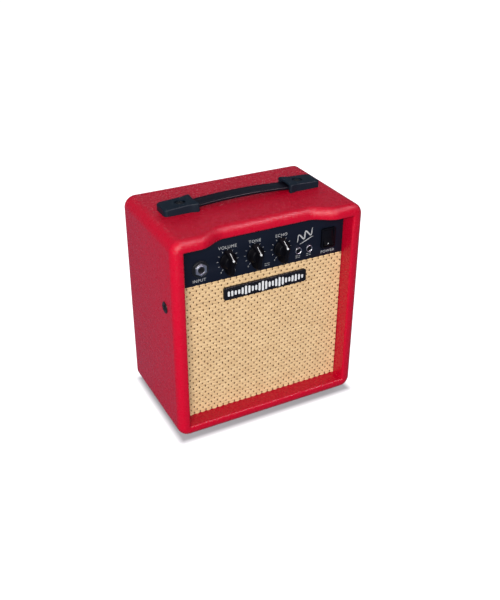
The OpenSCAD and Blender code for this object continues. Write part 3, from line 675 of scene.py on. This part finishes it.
def weft_threads(rng):
    """Two flat threads in each row that ride over every other warp and dive behind the next.

    Each row's dives lie between those of the rows above and below, whose crests swell over them. What
    is left between the two is one of the cloth's small dark holes.
    """
    low, high, bottom, _, row = cloth_measures()
    spacing = FLOAT_LENGTH / FLOAT_STEPS
    first, last = math.ceil((low + 0.7) / spacing), math.floor((high - 0.7) / spacing)
    xs = np.array([low + WEFT_INSET, *(np.arange(first, last + 1) * spacing), high - WEFT_INSET])
    count = len(xs)
    section = [(-1.0, 0.1), (-0.75, 0.75), (0.0, 1.0), (0.7, 0.72), (1.0, 0.0)]
    points, faces = [], []
    for r in range(WEFT_ROWS):
        centre = bottom + row * (r + 0.5)
        odd = r % 2
        phase = xs / FLOAT_LENGTH - odd / 2
        crest = np.abs(np.sin(math.pi * phase)) ** 0.8
        swell = rng.uniform(*SWELL_RANGE, 64)[np.floor(phase).astype(int) % 64]
        swell += 0.0 if odd else EVEN_ROW_SWELL
        drift = 0.09 * np.sin(xs * 0.11 + r * 1.7) + 0.05 * np.sin(xs * 0.53 + r * 2.9)
        reach = row * (DIVE_REACH + (CREST_GAIN + swell) * crest)
        for side in (-1, 1):
            half = reach / 2 * rng.uniform(0.95, 1.03)
            z = centre + drift + side * reach / 2
            y = FACE_Y + WEFT_DEPTH - WEFT_CREST * crest - rng.uniform(0.0, 0.05)
            rise = 0.34 + 0.08 * crest
            start = len(points)
            for i in range(count):
                points += [(xs[i], y[i] - rise[i] * h, z[i] + side * half[i] * w) for w, h in section]
            faces += tube_faces(count, len(section), start)
    return mend_normals(add_mesh("grille_cloth_weft", points, faces, WEFT, 70.0))


def warp_threads():
    """Flat near-black threads up the cloth that show only where the weft dives behind them. Their near-black
    is painted shade for the weave's holes.
    """
    low, high, bottom, top, row = cloth_measures()
    corners = [(0.8, 0.0), (0.0, 0.16), (-0.8, 0.0), (-0.3, -0.16), (0.3, -0.16)]
    levels = np.linspace(bottom, top, 8 * WEFT_ROWS + 1)
    points, faces = [], []
    for k in range(math.ceil(low / WARP_PITCH), math.floor(high / WARP_PITCH) + 1):
        start = len(points)
        for z in levels:
            over = math.cos(math.pi * ((z - bottom) / row - 0.5 + k))
            y = FACE_Y + WARP_DEPTH - WARP_CREST * max(over, 0.0) ** (5 if k % 2 else 3)
            points += [(k * WARP_PITCH + dx, y + dy, z) for dx, dy in corners]
        faces += tube_faces(len(levels), len(corners), start)
    return mend_normals(add_mesh("grille_cloth_warp", points, faces, SHADE_WARP, 80.0))


def grille_cloth():
    backing = shade_backing()
    weft = weft_threads(np.random.default_rng(11))
    warp = warp_threads()
    for piece in (backing, weft, warp):
        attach(piece, "cabinet")
    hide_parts("grille_cloth")


# ---------------------------------------------------------------- flat raised shapes: print and badge
DIAL_NAMES = {"volume": "VOLUME", "eq": "TONE", "delay": "ECHO"}
SWEEP = 150
PRINT_T = 0.06
# Capitals of the built-in font as a share of its size
FONT_CAPITALS = 0.72
DIAL_LABEL = 3.0
SOCKET_LABEL = 2.9
LABEL_SPACING = 1.16
LABEL_RISE = 12.6
TICK_FOOT = 9.1
TICK_WIDTH = 0.32
NUMBER_R = 12.9
NUMBER_HEIGHT = 1.7
RULE_HEIGHT = 0.7
RULE_GAP = 0.6
RULE_PITCH = 1.8


def plate(name, outline, depth, material, at):
    """An outline (x, z) raised `depth` off the plane through `at`, towards the front."""
    sections = [[(at[0] + x, at[1] - h, at[2] + z) for x, z in outline] for h in (0.0, depth)]
    return skin(name, sections, material, 30.0)


def words(text, height, at, spacing=1.0):
    """Raised lettering, centred on `at`, with capitals of the given height."""
    curve = bpy.data.curves.new("words", "FONT")
    curve.body = text
    curve.align_x = "CENTER"
    curve.align_y = "CENTER"
    curve.size = height / FONT_CAPITALS * MM
    curve.space_character = spacing
    curve.extrude = PRINT_T / 2 * MM
    curve.resolution_u = 3
    source = bpy.data.objects.new("words", curve)
    scene.collection.objects.link(source)
    bpy.context.view_layer.update()
    mesh = bpy.data.meshes.new_from_object(source.evaluated_get(bpy.context.evaluated_depsgraph_get()))
    bpy.data.objects.remove(source)
    mesh.transform(Matrix.Translation(Vector(at) * MM) @ Matrix.Rotation(math.pi / 2, 4, "X"))
    mesh.materials.clear()
    mesh.materials.append(PRINT)
    obj = bpy.data.objects.new("words", mesh)
    scene.collection.objects.link(obj)
    return obj


def dial_marks(dial):
    """Label, tick marks and end numbers round one knob."""
    x, _, z = centre_mm(dial + "_shaft")
    marks = [words(DIAL_NAMES[dial], DIAL_LABEL, (x, FACE_Y, z + LABEL_RISE), LABEL_SPACING)]
    for angle in range(-SWEEP, SWEEP + 1, 30):
        a = math.radians(angle)
        length = 1.5 if angle % SWEEP else 2.0
        tick = np.array(rounded_outline(TICK_WIDTH, length, 0.1, 2))
        radius = TICK_FOOT + length / 2
        turn = np.array([[math.cos(a), math.sin(a)], [-math.sin(a), math.cos(a)]])
        outline = tick @ turn.T + (radius * math.sin(a), radius * math.cos(a))
        marks.append(plate("tick", outline, PRINT_T, PRINT, (x, FACE_Y, z)))
    for angle, number in ((-SWEEP, "0"), (SWEEP, "10")):
        a = math.radians(angle)
        place = (x + NUMBER_R * math.sin(a), FACE_Y, z + NUMBER_R * math.cos(a))
        marks.append(words(number, NUMBER_HEIGHT, place))
    return marks


def small_lines(x, z, widths):
    """Short rules standing for small print."""
    lines = []
    for row, spans in enumerate(widths):
        cursor = -(sum(spans) + RULE_GAP * (len(spans) - 1)) / 2
        for span in spans:
            outline = rounded_outline(span, RULE_HEIGHT, 0.25, 2)
            place = (x + cursor + span / 2, FACE_Y, z - row * RULE_PITCH)
            lines.append(plate("rule", outline, PRINT_T, FINE_PRINT, place))
            cursor += span + RULE_GAP
    return lines


def wave_mark(x, z):
    """A plain tilted wave over a tapering underline, the panel's only ornament."""
    tilt = math.radians(18)
    turn = np.array([[math.cos(tilt), math.sin(tilt)], [-math.sin(tilt), math.cos(tilt)]])
    line = np.linspace(-1, 1, 49)
    pieces = []
    for offset, reach, swing, periods, weight in ((1.2, 9.6, 3.1, 2.5, 0.75), (-4.6, 7.6, 0.5, 0.5, 0.45)):
        middle = np.stack([line * reach, offset + swing * np.sin(line * math.pi * periods)], axis=1)
        along = np.gradient(middle, axis=0)
        across = np.stack([-along[:, 1], along[:, 0]], axis=1)
        across /= np.linalg.norm(across, axis=1)[:, None]
        half = (0.12 + weight * np.sqrt(np.cos(line * math.pi / 2) + 1e-9))[:, None] * 0.8
        outline = np.concatenate([middle - across * half, (middle + across * half)[::-1]]) @ turn
        pieces.append(plate("wave", outline, PRINT_T, PRINT, (x, FACE_Y, z)))
    return pieces


def panel_print():
    """Everything printed on the control panel, as one thin raised piece."""
    jack = centre_mm("input_sleeve")
    rocker = centre_mm("switch_rocker")
    rings = box_mm("socket_rings")
    marks = [
        words("INPUT", SOCKET_LABEL, (jack[0] - 1, FACE_Y, PANEL_LOW[2] + 4.2), LABEL_SPACING),
        words("POWER", SOCKET_LABEL, (rocker[0] + 0.6, FACE_Y, PANEL_LOW[2] + 4.0), LABEL_SPACING),
    ]
    for dial in DIAL_NAMES:
        marks += dial_marks(dial)
    socket_z = (rings[0][2] + rings[1][2]) / 2
    ring_r = (rings[1][2] - rings[0][2]) / 2
    for x in (rings[0][0] + ring_r, rings[1][0] - ring_r):
        marks += small_lines(x, socket_z - 5.4, ((2.6, 1.8), (2.0, 2.2)))
    marks += small_lines(centre_mm("eq_shaft")[0] + 12.6, PANEL_LOW[2] + 5.6, ((2.2, 2.6), (3.0, 1.6)))
    marks += wave_mark(rings[1][0] - 7.6, rocker[2] + 6.4)
    obj = join("panel_print", marks)
    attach(obj, "cabinet")


def badge():
    """White raised bars on the black plate, in the shape of a swelling tone."""
    finish_cad("badge_plate", BADGE, 0.5, segments=3)
    middle = (BADGE_LOW + BADGE_HIGH) / 2
    width, height = BADGE_HIGH[0] - BADGE_LOW[0], BADGE_HIGH[2] - BADGE_LOW[2]
    count = 23
    margin, bar_width, shortest = 3.4, 2.0, 2.6
    swing = height - 2.6 - shortest
    pitch = (width - 2 * margin - bar_width) / (count - 1)
    bars = []
    for i in range(count):
        swell = math.sin(math.pi * (i + 1) / (count + 1)) ** 0.5
        beat = 0.66 + 0.34 * math.cos(i * 1.25)
        tall = shortest + swing * swell * beat
        outline = rounded_outline(bar_width, tall, bar_width / 2 - 0.01, 4)
        place = (middle[0] + (i - (count - 1) / 2) * pitch, BADGE_LOW[1] + 0.3, middle[2])
        bars.append(plate("bar", outline, 0.55, BADGE_WHITE, place))
    obj = join("badge_bars", bars)
    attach(obj, "cabinet")


# ---------------------------------------------------------------- pointer knobs
# Heights off the panel: the knob's foot, its top, and the levels that shape its pointer ridge between them
KNOB_FOOT = 0.8
KNOB_TOP = 12.6
RIDGE_LEVELS = (1.4, 2.2, 3.0, 5.0, 7.0, 8.4, 9.0, 9.6, 10.2, 10.8, 11.4, 11.8, 12.1, 12.3, 12.5)
CAVITY_R = 6.5
CAVITY_TOP = 3.0
BORE_R = 3.02
BORE_TOP = 6.4


def knob_reach(h):
    """How far the pointer runs above and below the axis at the height h off the panel."""
    nose = np.interp(h, (KNOB_FOOT, 2.2, 11.0, 12.2, KNOB_TOP), (10.3, 10.4, 5.5, 4.4, 3.4))
    tail = np.interp(h, (KNOB_FOOT, 4.0, 8.4, 9.6, 11.8, KNOB_TOP), (-10.8, -12.0, -12.0, -11.1, -2.0, 1.6))
    return nose, tail


def knob_half_width(h):
    return float(np.interp(h, (KNOB_FOOT, 3.0, 11.7, 12.3, KNOB_TOP), (3.6, 3.2, 1.6, 1.35, 0.9)))


def pointer_knob(dial):
    """A round skirt and body with a tall pointer ridge across them."""
    x, _, z = centre_mm(dial + "_shaft")
    at = (x, FACE_Y, z)
    outline = [
        (7.7, KNOB_FOOT),
        (7.9, KNOB_FOOT),
        *arc(7.9, 1.2, 0.4, -90, 0, 3),
        *arc(7.95, 2.5, 0.35, 0, 90, 3),
        (7.55, 2.95),
        (7.35, 3.3),
        *arc(4.9, 6.3, 0.9, 20, 85, 5),
        (3.0, 7.25),
    ]
    body = turned(dial + "_pointer_knob", outline, KNOB, at)
    sections = []
    for h in (KNOB_FOOT, *RIDGE_LEVELS, KNOB_TOP):
        nose, tail = knob_reach(h)
        half = knob_half_width(h)
        outline = rounded_outline(2 * half, nose - tail, min(0.9, half * 0.7), 4)
        sections.append([(x + u, FACE_Y - h, z + v + (nose + tail) / 2) for u, v in outline])
    combine(body, skin("ridge", sections, KNOB, 40.0), "UNION")
    for radius, top in ((CAVITY_R, CAVITY_TOP), (BORE_R, BORE_TOP)):
        combine(body, turned("hollow", [(radius, -1.0), (radius, top)], KNOB, at, 48), "DIFFERENCE")
    shade(body, 28.0)
    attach(body, dial + "_dial")
    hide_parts(dial + "_knob")


def knob_mark(dial):
    """The white line up the nose and the dot at its top."""
    x, _, z = centre_mm(dial + "_shaft")
    # Points as (above the axis, off the panel)
    path = [(8.85, 5.0), (5.5, 11.0), (4.4, 12.2), (3.4, KNOB_TOP), (2.6, 12.38)]
    half, proud, sunk = 0.25, 0.05, -0.3
    sections = []
    for i, (v, h) in enumerate(path):
        before, after = path[max(i - 1, 0)], path[min(i + 1, len(path) - 1)]
        along = Vector((after[0] - before[0], after[1] - before[1])).normalized()
        out = Vector((along.y, -along.x))
        section = []
        for side, level in ((-half, proud), (half, proud), (half, sunk), (-half, sunk)):
            section.append((x + side, FACE_Y - h - out.y * level, z + v + out.x * level))
        sections.append(section)
    line = skin(dial + "_line", sections, BADGE_WHITE, 60.0)
    dot = turned("dot", [(0.95, 11.4), (0.95, 12.72), (0.85, 12.8)], BADGE_WHITE, (x, FACE_Y, z + 4.3), 24)
    mark = join(dial + "_knob_mark", [line, dot])
    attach(mark, dial + "_dial")


# ---------------------------------------------------------------- power rocker
ROCKER_AXIS_DEPTH = 1.5


def rocker_dot():
    """The white dot on the rocker's lower half. The rocker is drawn with its upper end pressed in."""
    tip = math.radians(-12)
    ahead, up = -4.35, -5.7
    x = centre_mm("switch_rocker")[0] - 1.4
    y = FACE_Y + ROCKER_AXIS_DEPTH + ahead * math.cos(tip) - up * math.sin(tip)
    z = centre_mm("switch_housing")[2] + ahead * math.sin(tip) + up * math.cos(tip)
    dot = turned("rocker_dot", [(0.6, -0.5), (0.6, 0.05), (0.52, 0.1)], BADGE_WHITE, (x, y, z), 24)
    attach(dot, "power_rocker")


# ---------------------------------------------------------------- handle
HANDLE_Y = (STRAP_LOW[1] + STRAP_HIGH[1]) / 2
STRAP_HALF = (STRAP_HIGH[1] - STRAP_LOW[1]) / 2
STRAP_T = 3.0
STRAP_RISE = 2.7
STRAP_END = 54.0
ARCH_END = 50.0
# The flat tab at each end: its tip, its thickness, and its middle's height above the covering
TAB_END = STRAP_HIGH[0]
TAB_T = 2.0
TAB_LIFT = 2.0
POST_X = 60.0
POST_R = 3.3
SCREW_HOLE_R = 2.05
RECESS_R = 5.0
RECESS_FLOOR = 5.7
# The cap's half width, what its mouth adds to that, its roundings, and its slope up to the mouth
CAP_HALF = 10.7
CAP_FLARE = 1.6
CAP_CORNER = 3.5
CAP_TIP_R = 1.2
CAP_ROUND = 1.3
CAP_RISE = 1.6
# The hollow for the tab and the slot for the strap: from x to x, and the ceiling's height
TAB_ROOM = (55.0, TAB_END + 1.5, 4.9)
STRAP_SLOT = (45.0, 56.0, 6.2)


def strap_section(half, thick):
    """Outline (across, up) of the strap: a crowned middle between two rounded edge beads."""
    bead = thick / 2
    flat = half - 2 * bead - 0.6
    top = []
    for u in np.linspace(flat, -flat, 13):
        top.append((u, bead - 0.35 + 0.25 * math.cos(u / half * math.pi / 2)))
    right = arc(half - bead, 0.0, bead, -90, 110, 10)
    left = arc(-(half - bead), 0.0, bead, 70, 270, 10)
    return [*right, *top, *left]


def handle_strap():
    """The moulded strap: a gentle arch whose ends run flat into the caps."""
    mid_z = STRAP_HIGH[2] - STRAP_T / 2
    arch_r = (STRAP_END ** 2 + STRAP_RISE ** 2) / (2 * STRAP_RISE)
    tab_z = TOP_Z + TAB_LIFT
    tab = np.linspace(ARCH_END + 2, TAB_END, 9)
    stations = [*(-tab[::-1]), *np.linspace(-ARCH_END, ARCH_END, 41), *tab]
    sections = []
    for x in stations:
        arch = mid_z - (arch_r - math.sqrt(arch_r ** 2 - min(abs(x), STRAP_END) ** 2))
        share = smooth_step((abs(x) - ARCH_END) / 6)
        z = arch + (tab_z - arch) * share
        outline = strap_section(STRAP_HALF - 0.05, STRAP_T + (TAB_T - STRAP_T) * share)
        sections.append([(x, HANDLE_Y + u, z + v) for u, v in outline])
    strap = skin("handle_strap_moulding", sections, STRAP, 50.0)
    for s in (-1, 1):
        outline = rounded_outline(13.8, 7.8, 3.89, 10)
        hole = [[(s * POST_X + u, HANDLE_Y + v, z) for u, v in outline] for z in (TOP_Z, TOP_Z + 7)]
        combine(strap, skin("hole", hole, STRAP), "DIFFERENCE")
    shade(strap, 50.0)
    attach(strap, "strap")
    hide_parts("handle_strap")


def cap_outline(inset):
    """Plan of the right cap: round outer corners and a mouth that flares towards the strap."""
    x0, x1 = CAP_LOW[0] + inset, CAP_HIGH[0] - inset
    half = CAP_HALF - inset
    wide = half + CAP_FLARE
    r = CAP_CORNER
    outer = [*arc(x1 - r, -half + r, r, -90, 0, 8), *arc(x1 - r, half - r, r, 0, 90, 8)]
    along = np.linspace(x1 - 8, x0 + 2.0, 12)
    side = [(x, half + CAP_FLARE * smooth_step((x0 + 9 - x) / 8.0)) for x in along]
    tip = arc(x0 + CAP_TIP_R, wide - CAP_TIP_R, CAP_TIP_R, 90, 180, 5)
    mouth = [(x0 + 0.9 * math.cos(t * math.pi / 2), t * (wide - 2.0)) for t in (0.8, 0.55, 0.3, 0.0)]
    upper = [*side, *tip, *mouth]
    lower = [(x, -y) for x, y in reversed(upper[:-1])]
    return [*outer, *upper, *lower]


def cap_top(x):
    """Height of the cap's top, which rises towards the mouth."""
    high = CAP_HIGH[2]
    return high - CAP_RISE * (x - CAP_LOW[0]) / (CAP_HIGH[0] - CAP_LOW[0])


def stud(x, radius, low, high):
    """An upright cylinder on the handle's centre line, between two heights above the covering."""
    angles = np.arange(48) * TAU / 48
    ring = [(x + radius * math.cos(a), HANDLE_Y + radius * math.sin(a)) for a in angles]
    return skin("stud", [[(u, v, TOP_Z + h) for u, v in ring] for h in (low, high)], CAP)


def handle_cap(s, name):
    """A cap with a rounded top edge, hollow for the strap's end, with a post and a hole for its screw."""
    base = cap_outline(0.0)
    sections = [[(x, y, TOP_Z) for x, y in base]]
    for a in np.radians(np.linspace(0, 90, 7)):
        outline = cap_outline(CAP_ROUND * (1 - math.cos(a)))
        drop = CAP_ROUND * (1 - math.sin(a))
        sections.append([(x, y, cap_top(bx) - drop) for (x, y), (bx, _) in zip(outline, base)])
    cap = skin(name, [[(s * x, HANDLE_Y + y, z) for x, y, z in section] for section in sections], CAP, 40.0)
    half = STRAP_HALF + 0.4

    def block(x0, x1, ceiling):
        outline = [(x0, -half), (x1, -half), (x1, half), (x0, half)]
        levels = (TOP_Z - 1, TOP_Z + ceiling)
        return skin("block", [[(s * x, HANDLE_Y + y, z) for x, y in outline] for z in levels], CAP)

    combine(cap, block(*STRAP_SLOT), "DIFFERENCE")
    room = block(*TAB_ROOM)
    combine(room, stud(s * POST_X, POST_R, -2, 8), "DIFFERENCE")
    combine(cap, room, "DIFFERENCE")
    combine(cap, stud(s * POST_X, RECESS_R, RECESS_FLOOR, 12), "DIFFERENCE")
    combine(cap, stud(s * POST_X, SCREW_HOLE_R, -1, 12), "DIFFERENCE")
    mend_normals(cap)
    shade(cap, SHARP)
    node = "left_handle_cap" if s < 0 else "right_handle_cap"
    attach(cap, "cabinet")
    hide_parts(node)


# ---------------------------------------------------------------- CAD nodes that stay
def dress_cad_nodes():
    """Material and edge rounding of every CAD node that is shown as it is."""
    plain = {
        WOOD: (0.4, "top_board", "bottom_board", "left_board", "right_board", "baffle_board",
               "baffle_battens", "rear_battens"),
        PANEL: (0.15, "control_panel"),
        BLACK: (0.2, "input_jack", "input_washer", "line_sockets", "dc_inlet", "amplifier_chip"),
        ROCKER: (0.35, "switch_housing", "switch_rocker"),
        CHROME: (0.18, "input_sleeve", "input_nut", "socket_rings", "pot_nuts"),
        STEEL: (0.3, "volume_pot", "eq_pot", "delay_pot"),
        SHAFT: (0.2, "volume_shaft", "eq_shaft", "delay_shaft"),
        LAMINATE: (0.0, "circuit_board"),
        SLEEVE: (0.5, "capacitors"),
        FINS: (0.15, "heatsink"),
        REAR: (0.5, "rear_panel"),
        SCREW: (0.12, "rear_screws", "handle_screws", "side_screws", "side_cups", "speaker_screws"),
        RUBBER: (0.5, "feet"),
        WIRE: (0.0, "internal_wires"),
        BASKET: (0.2, "left_basket", "right_basket"),
        MAGNET: (0.6, "speaker_magnets"),
        ZINC: (0.3, "speaker_yokes", "speaker_top_plates"),
        PAPER: (0.0, "left_cone", "right_cone", "left_dust_cap", "right_dust_cap"),
        COPPER: (0.0, "left_voice_coil", "right_voice_coil"),
        SURROUND: (0.0, "left_surround", "right_surround"),
        SPIDER: (0.0, "left_spider", "right_spider"),
    }
    for material, (bevel, *members) in plain.items():
        for node in members:
            finish_cad(node, material, bevel)


# ---------------------------------------------------------------- studio
# Half sizes of the floor's painted shadow under the cabinet, and how far past that the painted shadow fades
# to white
SHADOW_FOOTPRINT = (91.0, 56.0)
PAINTED_SHADOW_FADE = (-3.0, 11.0)


def floor_material():
    """White to the camera, with a painted soft shadow at the cabinet's foot. Reflections see it cool grey."""
    s = Surface("white_floor", (0.30, 0.29, 0.31), 0.9, specular=0.0)
    outside = s.add("ShaderNodeVectorMath", operation="ABSOLUTE")
    s.link(s.place, outside.inputs[0])
    past_edge = s.add("ShaderNodeVectorMath", operation="SUBTRACT")
    s.link(outside.outputs["Vector"], past_edge.inputs[0])
    past_edge.inputs[1].default_value = (*SHADOW_FOOTPRINT, 0.0)
    clear = s.add("ShaderNodeVectorMath", operation="MAXIMUM")
    s.link(past_edge.outputs["Vector"], clear.inputs[0])
    clear.inputs[1].default_value = (0.0, 0.0, 0.0)
    distance = s.add("ShaderNodeVectorMath", operation="LENGTH")
    s.link(clear.outputs["Vector"], distance.inputs[0])
    # The floor's glow rises with distance from the cabinet's footprint, which leaves a painted contact shadow
    # at its foot.
    painted_shadow_lift = s.add("ShaderNodeMapRange", interpolation_type="SMOOTHSTEP")
    s.link(distance.outputs["Value"], painted_shadow_lift.inputs["Value"])
    painted_shadow_lift.inputs["From Min"].default_value = PAINTED_SHADOW_FADE[0]
    painted_shadow_lift.inputs["From Max"].default_value = PAINTED_SHADOW_FADE[1]
    glow = s.add("ShaderNodeEmission")
    s.link(painted_shadow_lift.outputs["Result"], glow.inputs["Strength"])
    white = s.add("ShaderNodeAddShader")
    s.link(s.shader.outputs[0], white.inputs[0])
    s.link(glow.outputs[0], white.inputs[1])
    mirrored = s.add("ShaderNodeBsdfDiffuse")
    mirrored.inputs["Color"].default_value = (0.14, 0.17, 0.24, 1)
    choose = s.add("ShaderNodeMixShader")
    s.link(s.add("ShaderNodeLightPath").outputs["Is Camera Ray"], choose.inputs[0])
    s.link(mirrored.outputs[0], choose.inputs[1])
    s.link(white.outputs[0], choose.inputs[2])
    s.link(choose.outputs[0], s.tree.nodes["Material Output"].inputs["Surface"])
    return s.material


def surroundings():
    """White behind the object, and a dim cool room in its reflections."""
    world = bpy.data.worlds.new("studio")
    scene.world = world
    world.use_nodes = True
    tree = world.node_tree
    room = tree.nodes["Background"]
    room.inputs["Color"].default_value = (0.62, 0.76, 1.0, 1.0)
    room.inputs["Strength"].default_value = 0.22
    white = tree.nodes.new("ShaderNodeBackground")
    white.inputs["Color"].default_value = (1.0, 1.0, 1.0, 1.0)
    path = tree.nodes.new("ShaderNodeLightPath")
    choose = tree.nodes.new("ShaderNodeMixShader")
    tree.links.new(path.outputs["Is Camera Ray"], choose.inputs[0])
    tree.links.new(room.outputs[0], choose.inputs[1])
    tree.links.new(white.outputs[0], choose.inputs[2])
    tree.links.new(choose.outputs[0], tree.nodes["World Output"].inputs["Surface"])


def studio():
    """A white floor, a broad key light beside the camera, and soft lights from above, both sides and behind.

    The streak light shows only in glossy reflections. The side and back lights don't show there.
    """
    bpy.ops.mesh.primitive_plane_add(size=30.0)
    floor = bpy.context.object
    floor.name = "floor"
    floor.data.materials.append(floor_material())
    surroundings()
    target = Vector((0.0, 0.0, 0.10))
    lights = (
        ("key_light", (-0.80, -1.60, 0.95), (1.1, 0.8), 64.0, (1.0, 0.985, 0.96), "all"),
        ("streak_light", (0.64, -0.80, 1.33), (0.6, 0.05), 26.0, (1.0, 0.80, 0.92), "gloss"),
        ("top_light", (-0.3, 0.2, 2.0), (1.6, 1.2), 7.0, (0.97, 0.98, 1.0), "all"),
        ("left_light", (-1.9, -0.2, 0.35), (1.0, 0.7), 15.0, (1.0, 0.97, 1.0), "matte"),
        ("right_light", (1.8, 0.5, 0.6), (1.0, 0.8), 14.0, (1.0, 1.0, 1.0), "matte"),
        ("back_light", (0.4, 1.8, 0.6), (1.2, 0.8), 22.0, (1.0, 1.0, 1.0), "matte"),
    )
    for name, place, size, power, colour, lit in lights:
        data = bpy.data.lights.new(name, "AREA")
        data.shape = "RECTANGLE"
        data.size, data.size_y = size
        data.energy = power
        data.color = colour
        light = bpy.data.objects.new(name, data)
        light.location = place
        light.rotation_euler = (target - Vector(place)).to_track_quat("-Z", "Y").to_euler()
        light.visible_diffuse = lit != "gloss"
        light.visible_glossy = lit != "matte"
        scene.collection.objects.link(light)


def camera():
    """The camera looks down on the front from the left."""
    feet = SKIN_LOW[2]
    place = Vector((-306.6, -600.9, 486.0 + feet)) * MM
    target = Vector((7.93, 0.0, 94.83 + feet)) * MM
    data = bpy.data.cameras.new("camera")
    data.lens = 47.62
    data.sensor_width = 36.0
    data.sensor_fit = "AUTO"
    data.clip_start = 0.01
    obj = bpy.data.objects.new("camera", data)
    scene.collection.objects.link(obj)
    obj.location = place
    look = (target - place).to_track_quat("-Z", "Y").to_matrix().to_4x4()
    obj.rotation_euler = (look @ Matrix.Rotation(math.radians(0.31), 4, "Z")).to_euler()
    scene.camera = obj


camera()
studio()
dress_cad_nodes()
vinyl_covering()
grille_cloth()
badge()
panel_print()
for dial_name in DIAL_NAMES:
    pointer_knob(dial_name)
    knob_mark(dial_name)
rocker_dot()
handle_strap()
handle_cap(-1, "left_cap_moulding")
handle_cap(1, "right_cap_moulding")
